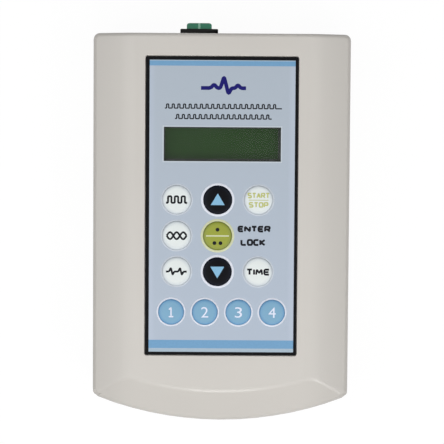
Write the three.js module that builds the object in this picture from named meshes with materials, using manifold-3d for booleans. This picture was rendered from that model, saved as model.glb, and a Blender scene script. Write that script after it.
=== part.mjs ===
// A four-channel tabletop muscle stimulator: a two-part plastic case with a membrane keypad,
// a small character display, a rear connector panel with a rocker switch, and a battery bay.
// Millimetres, +Z up, +Y towards the rear panel, standing on four rubber feet at z = 0.

import * as THREE from 'three';
import { mergeVertices } from 'three/addons/utils/BufferGeometryUtils.js';
import Module from 'manifold-3d';

const wasm = await Module();
wasm.setup();

// ---------------------------------------------------------------- driving dimensions

// general clearances: between a piece and its seat, and between a board and its post
const seatGap = 0.3;
const standGap = 0.1;
// how far a cutter passes a face, or a joined block sinks into its wall
const overrun = 1;

// case
const caseWidth = 115.2;
const caseLength = 174;
const caseBottom = 2;
const caseTop = 40;
const wall = 2.5;
const seamHeight = 15;
const seamGap = 0.3;
const lipThickness = 1;
const lipHeight = 2;
const lipClearance = 0.2;
const frontArcRadius = 154;
const frontCornerRadius = 4.5;
const rearCornerRadius = 2.8;
const smallestCorner = 0.6;
const shoulderHalfWidth = 42;
const shoulderRadius = 20;
const rimDrop = 6;
const noseDepth = 14;
const bottomChamfer = 1.2;

// control panel, laid in a recess of the top cover
const panelWidth = 67.6;
const panelLength = 133.1;
const panelRearMargin = 10.4;
const panelCornerRadius = 0.7;
const panelClearance = 0.3;
const bedThickness = 2;
const bedMargin = 3;
const layerGap = 0.05;
const circuitThickness = 0.6;
const spacerThickness = 1.2;
const overlayThickness = 0.65;
const panelSetback = 0.1;

// display, placed from the panel's centre
const displayOffsetX = 0.25;
const displayOffsetY = 27.75;
const displayViewWidth = 52.1;
const displayViewLength = 15.2;
const lensMargin = 2.4;
const viewMargin = 1;
const glassSize = [58, 24, 2.8];
const displayBoardSize = [72, 34, 1.6];
const displayPostInset = [3.5, 3];
const displayPostRadius = 2.4;
const displayPinRadius = 1.1;

// keys, placed from the panel's centre
const keyRadius = 6.3;
const keyColumnGap = 5.6;
const keyRowGap = 3.45;
const keyBlockX = -1.65;
const keyTopRowY = 3;
const channelKeyRadius = 5.6;
const channelGap = 3.85;
const channelRowGap = 6.25;
const channelRowX = 0.4;
const keyHoleClearance = 0.25;
const keyFlangeWidth = 0.9;
const keyFlangeThickness = 0.3;
const keyRise = 1;
const keyEdgeRadius = 0.5;
const keyTravel = 0.4;
const domeRadius = 4;
const domeThickness = 0.12;
const domeCrownRadius = 2.2;
const domeCrownDrop = 0.06;
const domeLegWidth = 0.3;

// the keypad circuit's tail drops through a slot in the bed near the front of the panel
const tailInset = 8;
const tailWidth = 14;
const tailLength = 11;
const tailClearance = 0.6;

// rear panel
const rearWindowWidth = 100;
const rearWindowBottom = 6.5;
const rearWindowTop = 33;
const rearPanelClearance = 0.3;
const rearPanelSetback = 0.3;
const rearFlangeWidth = 1.6;
const rearFlangeThickness = 1.2;
const rearRibThickness = 1.4;
const rearRibX = 26;

// power switch
const switchX = -10.4;
const switchFlange = [17, 21.6, 2.6];
const switchFlangeRadius = 1;
const switchBody = [13.6, 19.4, 15];
const switchWellDepth = 8;
const rockerWidth = 11.2;
const rockerLength = 17.4;
const rockerClearance = 0.35;
const rockerTilt = 10;
const rockerPivotDepth = 1.5;
const rockerBackAngle = 25;
const terminalSize = [4.8, 0.8, 7];
const terminalPitch = 6.5;

// connectors
const channelJackX = 8;
const channelJackPitch = 12;
const channelJackBody = [9, 12, 8.4];
const channelSleeveRadius = 3.2;
const channelBoreRadius = 1.8;
const channelBoreDepth = 13;
const powerJackX = -34;
const powerJackBody = [9, 14, 11];
const powerSleeveRadius = 4.3;
const powerBoreRadius = 3.2;
const powerBoreDepth = 10;
const powerPinRadius = 1;
const powerPinSetback = 1.5;
const sleeveClearance = 0.3;

// boards
const boardSize = [101, 75, 1.6];
const boardBottom = 9;
const boardRearGap = 2.2;
const boardClearance = 0.5;
const switchRoom = 1;
const boardPosts = [[40, 62.6], [24, 16.6]];
const postRadius = 3;
const pinRadius = 1.2;
const pinClearance = 0.3;
const pinTip = 0.5;
const coreSize = [11, 6, 9];
const windingSize = [8.8, 12, 6.5];
const bobbinFootSize = [9.9, 12, 1.4];
const transformerSetback = 38.6;

// case screws and feet
const rearScrewInset = [10.1, 30];
const frontScrewInset = [11.6, 37];
const bossRadius = 4.8;
const topBossRadius = 3.6;
const screwRadius = 1.45;
const screwHeadRadius = 2.8;
const screwHeadHeight = 2;
const screwHeadEdge = 0.4;
const screwCross = [3.1, 0.7, 1.1];
const screwPoint = 1.5;
const screwLength = 14;
const screwHeadBase = 7;
const screwClearance = 0.15;
const screwHeadClearance = 0.3;
const boreSpare = 1.5;
const rearFootInset = [11.6, 14];
const frontFootInset = [11.6, 21];
const footRadius = 6;
const footEdgeRadius = 1;
const footSeatDepth = 0.8;
const footClearance = 0.3;

// battery bay
const cellRadius = 7.1;
const cellLength = 49;
const cellNub = 1.4;
const cellNubRadius = 2.7;
const cellEdge = 0.4;
const cellSpacing = 0.4;
const cellGap = 0.4;
const contactThickness = 0.5;
const contactDepth = 2.6;
const contactMargin = 1;
const contactTipRadius = 2.2;
const springRootRadius = 4.6;
const buttonRootRadius = 3;
const bayClearance = 0.3;
const bayWall = 1.6;
const bayFrontMargin = 20;
const doorThickness = 1.8;
const doorOverlap = 2.2;
const doorClearance = 0.3;
const doorTravel = 6;
const ledgeThickness = 1.5;
const ledgeWidth = 4.5;
const hookLength = 5;
const hookReach = 1.4;
const hookThickness = 0.7;
const hookPlaces = [0.24, 0.76];
const gripGrooves = 5;
const gripMargin = 6;
const gripPitch = 2.4;
const gripLength = 20;
const gripDepth = 0.5;

// ---------------------------------------------------------------- shared places

const rearY = caseLength / 2;
const frontY = -caseLength / 2;
const panelY = rearY - panelRearMargin - panelLength / 2;
const arcCentreY = frontArcRadius - caseLength / 2;
const shoulderSlope = Math.atan2(rimDrop, caseWidth / 2 - shoulderHalfWidth);
const noseSlope = Math.atan2(rimDrop, noseDepth);

const overlayTop = caseTop - panelSetback;
const overlayBottom = overlayTop - overlayThickness;
const spacerTop = overlayBottom - layerGap;
const spacerBottom = spacerTop - spacerThickness;
const circuitTop = spacerBottom - layerGap;
const circuitBottom = circuitTop - circuitThickness;
const bedTop = circuitBottom - layerGap;
const bedBottom = bedTop - bedThickness;

const channelJackPlaces = [0, 1, 2, 3].map((i) => channelJackX + i * channelJackPitch);

const keyColumnPitch = 2 * keyRadius + keyColumnGap;
const keyRowPitch = 2 * keyRadius + keyRowGap;
const keyRows = 3;
const lowestRowY = keyTopRowY - (keyRows - 1) * keyRowPitch;
const channelPitch = 2 * channelKeyRadius + channelGap;
const channelRowY = lowestRowY - keyRadius - channelRowGap - channelKeyRadius;

const displayX = displayOffsetX;
const displayY = panelY + displayOffsetY;
const lensWidth = displayViewWidth + 2 * lensMargin;
const lensLength = displayViewLength + 2 * lensMargin;
const viewWidth = displayViewWidth + 2 * viewMargin;
const viewLength = displayViewLength + 2 * viewMargin;
const tailY = panelY - panelLength / 2 + tailInset;
const glassTop = bedBottom - seatGap;
const displayBoardTop = glassTop - glassSize[2] - seatGap;
const displayBoardBottom = displayBoardTop - displayBoardSize[2];

const rearFace = rearY - rearPanelSetback;
const rearPanelZ = (rearWindowBottom + rearWindowTop) / 2;
const flangeFront = rearY - wall - seatGap;
const flangeBack = flangeFront - rearFlangeThickness;
const switchFlangeFace = rearFace + switchFlange[2];
const boardTop = boardBottom + boardSize[2];
const boardRear = flangeBack - boardRearGap;
const transformerMiddle = boardRear - transformerSetback;
const jackFront = flangeBack - 2 * seatGap;
const channelJackZ = boardTop + layerGap + channelJackBody[2] / 2;
const powerJackZ = boardTop + layerGap + powerJackBody[2] / 2;

const bayFrontY = frontY + bayFrontMargin;
const cellCount = 4;
const cellPitch = 2 * cellRadius + cellSpacing;
const bayHalfWidth = (cellCount * cellPitch) / 2 + bayClearance;
const bayLength = cellLength + cellNub + 2 * (contactThickness + contactDepth + bayClearance);
const bayRearY = bayFrontY + bayLength;
const doorBottom = caseBottom;
const doorTop = doorBottom + doorThickness;
const ledgeBottom = doorTop + doorClearance;
const cellHeight = doorTop + cellGap + cellRadius;
const bayTop = cellHeight + cellRadius + cellGap;
const doorHalfWidth = bayHalfWidth + doorOverlap;
const doorFrontY = bayFrontY - doorOverlap;
const doorRearY = bayRearY + doorOverlap;
const doorLength = doorRearY - doorFrontY;

const degrees = Math.PI / 180;
// how far the middle of a rounded corner lies inside its two sides, for a radius of one
const cornerCut = 1 - Math.SQRT1_2;
const noseStep = 3;

// ---------------------------------------------------------------- solids and shapes

function toSolid(geometry) {
  const bare = geometry.index ? geometry.toNonIndexed() : geometry.clone();
  bare.deleteAttribute('normal');
  bare.deleteAttribute('uv');
  const merged = mergeVertices(bare, 1e-4);
  return new wasm.Manifold(new wasm.Mesh({
    numProp: 3,
    vertProperties: new Float32Array(merged.attributes.position.array),
    triVerts: new Uint32Array(merged.index.array),
  }));
}

function toGeometry(solid) {
  const mesh = solid.getMesh();
  const geometry = new THREE.BufferGeometry();
  geometry.setAttribute('position', new THREE.BufferAttribute(mesh.vertProperties, 3));
  geometry.setIndex(new THREE.BufferAttribute(mesh.triVerts, 1));
  geometry.computeVertexNormals();
  return geometry;
}

function unite(...solids) {
  return solids.reduce((whole, piece) => whole.add(piece));
}

function cut(solid, ...tools) {
  return tools.reduce((rest, tool) => rest.subtract(tool), solid);
}

function block(x0, x1, y0, y1, z0, z1) {
  const geometry = new THREE.BoxGeometry(x1 - x0, y1 - y0, z1 - z0);
  geometry.translate((x0 + x1) / 2, (y0 + y1) / 2, (z0 + z1) / 2);
  return toSolid(geometry);
}

// a box between any two opposite corners
function blockBetween(a, b) {
  const low = a.map((value, i) => Math.min(value, b[i]));
  const high = a.map((value, i) => Math.max(value, b[i]));
  return block(low[0], high[0], low[1], high[1], low[2], high[2]);
}

// a box by its size, centred in x and y, from z0 upwards
function boxOn(size, x, y, z0) {
  const [width, length, height] = size;
  return block(x - width / 2, x + width / 2, y - length / 2, y + length / 2, z0, z0 + height);
}

function prism(shape, z0, z1) {
  const geometry = new THREE.ExtrudeGeometry(shape, { depth: z1 - z0, bevelEnabled: false });
  geometry.translate(0, 0, z0);
  return toSolid(geometry);
}

// a shape drawn in x and z, extruded from y0 to y1
function prismAlongY(shape, y0, y1) {
  const geometry = new THREE.ExtrudeGeometry(shape, { depth: y1 - y0, bevelEnabled: false });
  geometry.rotateX(Math.PI / 2);
  geometry.translate(0, y1, 0);
  return toSolid(geometry);
}

// a shape drawn in y and z, extruded from x0 to x1
function prismAlongX(shape, x0, x1) {
  const geometry = new THREE.ExtrudeGeometry(shape, { depth: x1 - x0, bevelEnabled: false });
  geometry.rotateX(Math.PI / 2);
  geometry.rotateZ(Math.PI / 2);
  geometry.translate(x0, 0, 0);
  return toSolid(geometry);
}

// a round bar standing on z0
function pillar(radius, x, y, z0, z1, sides = 20) {
  const geometry = new THREE.CylinderGeometry(radius, radius, z1 - z0, sides);
  geometry.rotateX(Math.PI / 2);
  geometry.translate(x, y, (z0 + z1) / 2);
  return toSolid(geometry);
}

// a round bar lying along y
function rod(radius, x, z, y0, y1, sides = 20) {
  const geometry = new THREE.CylinderGeometry(radius, radius, y1 - y0, sides);
  geometry.translate(x, (y0 + y1) / 2, z);
  return toSolid(geometry);
}

// a profile of [radius, height] pairs, from the axis round to the axis, turned about a vertical line
function turned(profile, x, y, sides) {
  const points = profile.map(([radius, height]) => new THREE.Vector2(radius, height));
  const geometry = new THREE.LatheGeometry(points, sides);
  geometry.rotateX(Math.PI / 2);
  geometry.translate(x, y, 0);
  return toSolid(geometry);
}

function arc(centreX, centreY, radius, fromAngle, toAngle, steps) {
  const points = [];
  for (let i = 0; i <= steps; i += 1) {
    const angle = fromAngle + ((toAngle - fromAngle) * i) / steps;
    points.push(new THREE.Vector2(
      centreX + radius * Math.cos(angle),
      centreY + radius * Math.sin(angle),
    ));
  }
  return points;
}

function roundedRectangle(width, height, radius, centreX, centreY, steps = 4) {
  const right = centreX + width / 2 - radius;
  const left = centreX - width / 2 + radius;
  const top = centreY + height / 2 - radius;
  const bottom = centreY - height / 2 + radius;
  return new THREE.Shape([
    ...arc(right, top, radius, 0, Math.PI / 2, steps),
    ...arc(left, top, radius, Math.PI / 2, Math.PI, steps),
    ...arc(left, bottom, radius, Math.PI, 1.5 * Math.PI, steps),
    ...arc(right, bottom, radius, 1.5 * Math.PI, 2 * Math.PI, steps),
  ]);
}

// ---------------------------------------------------------------- case form

// plan of the case, moved inwards by inset: straight sides and rear, bowed front
function caseOutline(inset) {
  const halfWidth = caseWidth / 2 - inset;
  const rear = rearY - inset;
  const arcRadius = frontArcRadius - inset;
  const rearCorner = Math.max(rearCornerRadius - inset, smallestCorner);
  const frontCorner = Math.max(frontCornerRadius - inset, smallestCorner);
  const cornerX = halfWidth - frontCorner;
  const cornerDrop = Math.sqrt((arcRadius - frontCorner) ** 2 - cornerX ** 2);
  const cornerY = arcCentreY - cornerDrop;
  const cornerAngle = Math.atan2(cornerX, cornerDrop);
  const points = [
    ...arc(halfWidth - rearCorner, rear - rearCorner, rearCorner, 0, Math.PI / 2, 4),
    ...arc(rearCorner - halfWidth, rear - rearCorner, rearCorner, Math.PI / 2, Math.PI, 4),
    ...arc(-cornerX, cornerY, frontCorner, Math.PI, 1.5 * Math.PI - cornerAngle, 4),
  ];
  const lastStep = Math.floor(cornerAngle / degrees / noseStep);
  for (let step = -lastStep; step <= lastStep; step += 1) {
    const angle = step * noseStep * degrees;
    points.push(new THREE.Vector2(
      arcRadius * Math.sin(angle),
      arcCentreY - arcRadius * Math.cos(angle),
    ));
  }
  points.push(...arc(cornerX, cornerY, frontCorner, 1.5 * Math.PI + cornerAngle, 2 * Math.PI, 4));
  return new THREE.Shape(points);
}

// everything under the crowned top: level in the middle, rolling down to both sides
function underCrown(inset) {
  const top = caseTop - inset;
  const radius = shoulderRadius - inset;
  const reach = caseWidth / 2 + overrun;
  const tangent = shoulderRadius * Math.tan(shoulderSlope / 2);
  const centreX = shoulderHalfWidth - tangent;
  const centreZ = caseTop - shoulderRadius;
  const endX = centreX + radius * Math.sin(shoulderSlope);
  const endZ = centreZ + radius * Math.cos(shoulderSlope);
  const low = endZ - (reach - endX) * Math.tan(shoulderSlope);
  const right = Math.PI / 2 - shoulderSlope;
  const shape = new THREE.Shape([
    new THREE.Vector2(-reach, 0),
    new THREE.Vector2(reach, 0),
    new THREE.Vector2(reach, low),
    ...arc(centreX, centreZ, radius, right, Math.PI / 2, 3),
    ...arc(-centreX, top - radius, radius, Math.PI / 2, Math.PI - right, 3),
    new THREE.Vector2(-reach, low),
  ]);
  return prismAlongY(shape, frontY - overrun, rearY + overrun);
}

// everything under the sloping nose: a wide cone about the centre of the front arc
function underNose(inset) {
  const fall = Math.tan(noseSlope);
  const start = frontArcRadius - noseDepth - inset * Math.tan(noseSlope / 2);
  const level = caseTop - inset;
  const outer = frontArcRadius + noseDepth;
  const crown = caseTop + overrun;
  return turned([
    [0, 0],
    [outer, 0],
    [outer, level - (outer - start) * fall],
    [start - (crown - level) / fall, crown],
    [0, crown],
  ], 0, arcCentreY, 360 / noseStep);
}

function caseForm(inset) {
  return prism(caseOutline(inset), 0, caseTop + overrun)
    .intersect(underCrown(inset))
    .intersect(underNose(inset));
}

// the lower edge of the case is chamfered all round
function chamferedBlank() {
  const geometry = new THREE.ExtrudeGeometry(caseOutline(0), {
    depth: caseTop,
    bevelEnabled: true,
    bevelThickness: bottomChamfer,
    bevelSize: bottomChamfer,
    bevelOffset: -bottomChamfer,
    bevelSegments: 1,
  });
  geometry.translate(0, 0, caseBottom + bottomChamfer);
  return toSolid(geometry);
}

// everything between two heights
function between(z0, z1) {
  return block(-caseLength, caseLength, -caseLength, caseLength, z0, z1);
}

const outerForm = caseForm(0).intersect(chamferedBlank());
const innerForm = caseForm(wall).intersect(between(caseBottom + wall, caseTop));

function mirroredPairs(...places) {
  return places.flatMap(([x, y]) => [[-x, y], [x, y]]);
}

// a place given by how far it lies inside the case's side and its rear or front end
function fromRear([side, end]) {
  return [caseWidth / 2 - side, rearY - end];
}

function fromFront([side, end]) {
  return [caseWidth / 2 - side, frontY + end];
}

const screwPlaces = mirroredPairs(fromRear(rearScrewInset), fromFront(frontScrewInset));
const footPlaces = mirroredPairs(fromRear(rearFootInset), fromFront(frontFootInset));
const boardPostPlaces = mirroredPairs(...boardPosts.map(([x, setback]) => [x, boardRear - setback]));

// the rear window, with a rebate behind the wall for the rear panel's flange
function rearWindow() {
  const halfWidth = rearWindowWidth / 2;
  const rebate = rearFlangeWidth + rearPanelClearance;
  return unite(
    block(
      -halfWidth,
      halfWidth,
      rearY - wall - overrun,
      rearY + overrun,
      rearWindowBottom,
      rearWindowTop,
    ),
    block(
      -halfWidth - rebate,
      halfWidth + rebate,
      flangeBack - seatGap,
      rearY - wall,
      rearWindowBottom - rebate,
      rearWindowTop + rebate,
    ),
  );
}

// ---------------------------------------------------------------- display and keypad places

function displayPostPlaces() {
  const x = displayBoardSize[0] / 2 - displayPostInset[0];
  const y = displayBoardSize[1] / 2 - displayPostInset[1];
  return [[-x, -y], [x, -y], [-x, y], [x, y]].map(([dx, dy]) => [displayX + dx, displayY + dy]);
}

function keyAt(name, column, row, color) {
  return {
    name,
    x: keyBlockX + column * keyColumnPitch,
    y: panelY + keyTopRowY - row * keyRowPitch,
    radius: keyRadius,
    color,
  };
}

function channelKey(index) {
  return {
    name: `key_channel_${index + 1}`,
    x: channelRowX + (index - 1.5) * channelPitch,
    y: panelY + channelRowY,
    radius: channelKeyRadius,
    color: '#7ba8c4',
  };
}

const keys = [
  keyAt('key_mode_1', -1, 0, '#dfe3e2'),
  keyAt('key_mode_2', -1, 1, '#dfe3e2'),
  keyAt('key_mode_3', -1, 2, '#dfe3e2'),
  keyAt('key_up', 0, 0, '#15181d'),
  keyAt('key_enter', 0, 1, '#97a52b'),
  keyAt('key_down', 0, 2, '#15181d'),
  keyAt('key_start_stop', 1, 0, '#dfe3e2'),
  keyAt('key_timer', 1, 2, '#dfe3e2'),
  ...[0, 1, 2, 3].map(channelKey),
];

function circlePath(x, y, radius, steps) {
  return new THREE.Path(arc(x, y, radius, 0, -2 * Math.PI, steps).slice(0, -1));
}

function rectanglePath(width, length, x, y) {
  return new THREE.Path([
    new THREE.Vector2(x - width / 2, y - length / 2),
    new THREE.Vector2(x - width / 2, y + length / 2),
    new THREE.Vector2(x + width / 2, y + length / 2),
    new THREE.Vector2(x + width / 2, y - length / 2),
  ]);
}

function panelSheet(z0, z1, holes) {
  const shape = roundedRectangle(panelWidth, panelLength, panelCornerRadius, 0, panelY, 3);
  shape.holes.push(...holes);
  return prism(shape, z0, z1);
}

// ---------------------------------------------------------------- case pieces

function topCover() {
  const recessWidth = panelWidth + 2 * panelClearance;
  const recessLength = panelLength + 2 * panelClearance;
  const bed = boxOn(
    [recessWidth + 2 * bedMargin, recessLength + 2 * bedMargin, caseTop - bedBottom],
    0,
    panelY,
    bedBottom,
  ).intersect(outerForm);
  const bosses = screwPlaces.map(([x, y]) => (
    pillar(topBossRadius, x, y, seamHeight + seamGap, caseTop).intersect(outerForm)
  ));
  const posts = displayPostPlaces().map(([x, y]) => unite(
    pillar(displayPostRadius, x, y, displayBoardTop + standGap, bedTop, 12),
    pillar(displayPinRadius, x, y, displayBoardBottom - pinTip, bedTop, 8),
  ));
  const shell = cut(outerForm, innerForm);
  const recess = prism(
    roundedRectangle(recessWidth, recessLength, panelCornerRadius + panelClearance, 0, panelY),
    bedTop,
    caseTop + overrun,
  );
  const rebateOutline = caseOutline(wall - lipThickness - lipClearance);
  const lipRebate = cut(
    prism(rebateOutline, 0, seamHeight + lipHeight + seamGap),
    ...screwPlaces.map(([x, y]) => pillar(topBossRadius, x, y, -overrun, caseTop)),
  );
  const view = boxOn(
    [viewWidth, viewLength, bedThickness + 2 * overrun],
    displayX,
    displayY,
    bedBottom - overrun,
  );
  const tailSlot = boxOn(
    [
      tailWidth + 2 * tailClearance,
      circuitThickness + 2 * tailClearance,
      bedThickness + 2 * overrun,
    ],
    0,
    tailY,
    bedBottom - overrun,
  );
  const bores = screwPlaces.map(([x, y]) => (
    pillar(screwRadius + screwClearance, x, y, 0, screwHeadBase + screwLength + boreSpare, 12)
  ));
  return cut(
    unite(shell, bed, ...bosses, ...posts),
    between(-overrun, seamHeight + seamGap / 2),
    lipRebate,
    recess,
    view,
    tailSlot,
    rearWindow(),
    ...bores,
  );
}

// how far the hooks sit along the battery door
function hookStart(place) {
  return doorFrontY + place * doorLength - hookLength / 2;
}

function bottomCover() {
  const floorRoot = caseBottom + overrun;
  const shell = cut(outerForm, innerForm, between(seamHeight - seamGap / 2, caseTop + overrun));
  const lip = cut(
    prism(caseOutline(wall - lipThickness), seamHeight - lipHeight, seamHeight + lipHeight),
    prism(caseOutline(wall), 0, caseTop),
  );
  const bosses = screwPlaces.map(([x, y]) => (
    pillar(bossRadius, x, y, floorRoot, seamHeight - seamGap / 2)
  ));
  const posts = boardPostPlaces.map(([x, y]) => unite(
    pillar(postRadius, x, y, floorRoot, boardBottom - standGap, 12),
    pillar(pinRadius, x, y, floorRoot, boardTop + pinTip, 8),
  ));
  const bay = block(
    -bayHalfWidth - bayWall,
    bayHalfWidth + bayWall,
    bayFrontY - bayWall,
    bayRearY + bayWall,
    floorRoot,
    bayTop + bayWall,
  );
  const ledge = block(
    -doorHalfWidth - ledgeWidth,
    doorHalfWidth + ledgeWidth,
    doorFrontY - ledgeWidth,
    doorRearY + doorTravel + ledgeWidth,
    floorRoot,
    ledgeBottom + ledgeThickness,
  ).intersect(outerForm);
  const ribs = [-rearRibX, rearRibX].map((x) => block(
    x - rearRibThickness,
    x + rearRibThickness,
    flangeBack - seatGap - rearRibThickness,
    flangeBack - seatGap,
    floorRoot,
    boardBottom,
  ));
  const bayInside = block(-bayHalfWidth, bayHalfWidth, bayFrontY, bayRearY, 0, bayTop);
  const doorSeat = block(
    -doorHalfWidth - doorClearance,
    doorHalfWidth + doorClearance,
    doorFrontY - doorClearance,
    doorRearY + doorTravel + doorClearance,
    0,
    ledgeBottom,
  );
  const hooks = hookPlaces.flatMap((place) => [-1, 1].map((side) => {
    const inner = side * (doorHalfWidth + doorClearance - hookReach);
    const outer = side * (doorHalfWidth + doorClearance + overrun);
    const start = hookStart(place);
    return blockBetween(
      [inner, start, caseBottom],
      [outer, start + hookLength, caseBottom + hookThickness],
    );
  }));
  const screwWays = screwPlaces.flatMap(([x, y]) => [
    pillar(screwHeadRadius + screwHeadClearance, x, y, 0, screwHeadBase + screwHeadHeight),
    pillar(screwRadius + screwClearance, x, y, 0, seamHeight + overrun, 12),
  ]);
  const footSeats = footPlaces.map(([x, y]) => (
    pillar(footRadius + footClearance, x, y, 0, caseBottom + footSeatDepth + footClearance, 24)
  ));
  const body = cut(
    unite(shell, lip, ...bosses, ...posts, bay, ledge, ...ribs),
    bayInside,
    doorSeat,
    rearWindow(),
    ...screwWays,
    ...footSeats,
  );
  return unite(body, ...hooks);
}

function batteryDoor() {
  const plate = block(-doorHalfWidth, doorHalfWidth, doorFrontY, doorRearY, doorBottom, doorTop);
  // each hook runs in a shallow slot, and drops out through a notch once the door has slid back
  const cuts = hookPlaces.flatMap((place) => [-1, 1].flatMap((side) => {
    const inner = side * (doorHalfWidth - hookReach);
    const outer = side * (doorHalfWidth + overrun);
    const start = hookStart(place) - doorTravel - doorClearance;
    const notchEnd = start + hookLength + 2 * doorClearance;
    const slotEnd = hookStart(place) + hookLength + doorClearance;
    const slotDepth = hookThickness + doorClearance;
    return [
      blockBetween([inner, start, doorBottom - overrun], [outer, slotEnd, doorBottom + slotDepth]),
      blockBetween([inner, start, doorBottom - overrun], [outer, notchEnd, doorTop + overrun]),
    ];
  }));
  const grooves = [];
  for (let i = 0; i < gripGrooves; i += 1) {
    const y = doorRearY - gripMargin - i * gripPitch;
    grooves.push(boxOn([gripLength, gripPitch / 2, overrun + gripDepth], 0, y, doorBottom - overrun));
  }
  return cut(plate, ...cuts, ...grooves);
}

function rearPanel() {
  const halfWidth = rearWindowWidth / 2 - rearPanelClearance;
  const low = rearWindowBottom + rearPanelClearance;
  const high = rearWindowTop - rearPanelClearance;
  const plate = unite(
    block(-halfWidth, halfWidth, flangeBack, rearFace, low, high),
    block(
      -halfWidth - rearFlangeWidth,
      halfWidth + rearFlangeWidth,
      flangeBack,
      flangeFront,
      low - rearFlangeWidth,
      high + rearFlangeWidth,
    ),
  );
  const switchCut = boxOn(
    [switchBody[0] + 2 * seatGap, 4 * wall, switchBody[1] + 2 * seatGap],
    switchX,
    rearFace,
    rearPanelZ - switchBody[1] / 2 - seatGap,
  );
  const jackCuts = channelJackPlaces.map((x) => (
    rod(channelSleeveRadius + sleeveClearance, x, channelJackZ, flangeBack - overrun, rearY)
  ));
  const powerCut = rod(
    powerSleeveRadius + sleeveClearance,
    powerJackX,
    powerJackZ,
    flangeBack - overrun,
    rearY,
  );
  return cut(plate, switchCut, ...jackCuts, powerCut);
}

// ---------------------------------------------------------------- keypad pieces

function graphicOverlay() {
  const holes = keys.map((key) => circlePath(key.x, key.y, key.radius + keyHoleClearance, 20));
  holes.push(rectanglePath(displayViewWidth, displayViewLength, displayX, displayY));
  return panelSheet(overlayBottom, overlayTop, holes);
}

function keypadSpacer() {
  const room = keyFlangeWidth + keyHoleClearance + seatGap;
  const holes = keys.map((key) => circlePath(key.x, key.y, key.radius + room, 14));
  holes.push(rectanglePath(lensWidth + 2 * seatGap, lensLength + 2 * seatGap, displayX, displayY));
  return panelSheet(spacerBottom, spacerTop, holes);
}

function keypadCircuit() {
  const view = rectanglePath(viewWidth, viewLength, displayX, displayY);
  const sheet = panelSheet(circuitBottom, circuitTop, [view]);
  const tail = boxOn(
    [tailWidth, circuitThickness, tailLength + circuitThickness],
    0,
    tailY,
    circuitTop - tailLength - circuitThickness,
  );
  return unite(sheet, tail);
}

function displayLens() {
  return boxOn([lensWidth, lensLength, spacerThickness - standGap], displayX, displayY, spacerBottom);
}

const domeHeight = spacerThickness - keyTravel - keyFlangeThickness - 2 * layerGap;

function keyDome(key) {
  const base = circuitTop + layerGap;
  const crown = base + domeHeight;
  return turned([
    [0, crown],
    [domeCrownRadius, crown - domeCrownDrop],
    [domeRadius, base],
    [domeRadius - domeLegWidth, base],
    [domeCrownRadius - domeLegWidth, crown - domeCrownDrop - domeThickness],
    [0, crown - domeThickness],
  ].reverse(), key.x, key.y, 12);
}

function keyCap(key) {
  const base = spacerTop - keyFlangeThickness;
  const crown = overlayTop + keyRise;
  const flange = key.radius + keyFlangeWidth;
  const shoulder = key.radius - keyEdgeRadius;
  return turned([
    [0, base],
    [flange, base],
    [flange, spacerTop],
    [key.radius, spacerTop],
    [key.radius, crown - keyEdgeRadius],
    [key.radius - cornerCut * keyEdgeRadius, crown - cornerCut * keyEdgeRadius],
    [shoulder, crown],
    [0, crown],
  ], key.x, key.y, 20);
}

// ---------------------------------------------------------------- display pieces

function displayGlass() {
  return boxOn(glassSize, displayX, displayY, glassTop - glassSize[2]);
}

function displayBoard() {
  const board = boxOn(displayBoardSize, displayX, displayY, displayBoardBottom);
  const low = displayBoardBottom - overrun;
  const high = displayBoardTop + overrun;
  const holes = displayPostPlaces().map(([x, y]) => (
    pillar(displayPinRadius + pinClearance, x, y, low, high, 10)
  ));
  return cut(board, ...holes);
}

// ---------------------------------------------------------------- power switch

function switchHousing() {
  const [width, height, depth] = switchFlange;
  const flange = prismAlongY(
    roundedRectangle(width, height, switchFlangeRadius, switchX, rearPanelZ),
    rearFace + layerGap,
    switchFlangeFace,
  );
  const bodyFront = rearFace + layerGap + depth / 2;
  const bodyBack = rearFace - switchBody[2];
  const body = block(
    switchX - switchBody[0] / 2,
    switchX + switchBody[0] / 2,
    bodyBack,
    bodyFront,
    rearPanelZ - switchBody[1] / 2,
    rearPanelZ + switchBody[1] / 2,
  );
  const [bladeWidth, bladeThickness, bladeLength] = terminalSize;
  const terminals = [-1, 0, 1].map((place) => boxOn(
    [bladeWidth, bladeLength + overrun, bladeThickness],
    switchX,
    bodyBack - (bladeLength - overrun) / 2,
    rearPanelZ + place * terminalPitch - bladeThickness / 2,
  ));
  const halfWell = rockerLength / 2 + rockerClearance;
  const well = block(
    switchX - rockerWidth / 2 - rockerClearance,
    switchX + rockerWidth / 2 + rockerClearance,
    switchFlangeFace - switchWellDepth,
    switchFlangeFace + overrun,
    rearPanelZ - halfWell,
    rearPanelZ + halfWell,
  );
  return cut(unite(flange, body, ...terminals), well);
}

// side view of the rocker in y and z about its pivot: two flat faces meeting in a shallow valley,
// ends round about the pivot, and turned so that its upper end stands out
function rockerSide() {
  const endRadius = rockerLength / 2;
  const tilt = rockerTilt * degrees;
  const back = rockerBackAngle * degrees;
  const cornerY = rockerPivotDepth + endRadius * Math.tan(tilt);
  const front = Math.asin(cornerY / Math.hypot(cornerY, endRadius));
  const upper = arc(0, 0, endRadius, Math.PI / 2 + back, Math.PI / 2 - front, 6);
  const lower = upper.map((point) => new THREE.Vector2(point.x, -point.y)).reverse();
  return [...upper, new THREE.Vector2(rockerPivotDepth, 0), ...lower].map((point) => (
    point.rotateAround(new THREE.Vector2(), -tilt)
  ));
}

const pivotY = switchFlangeFace - rockerPivotDepth;
const rockerTip = pivotY + Math.max(...rockerSide().map((point) => point.x));

function switchRocker() {
  const pivot = new THREE.Vector2(pivotY, rearPanelZ);
  const side = rockerSide().map((point) => point.add(pivot));
  return prismAlongX(new THREE.Shape(side), switchX - rockerWidth / 2, switchX + rockerWidth / 2);
}

// ---------------------------------------------------------------- boards and connectors

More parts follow.
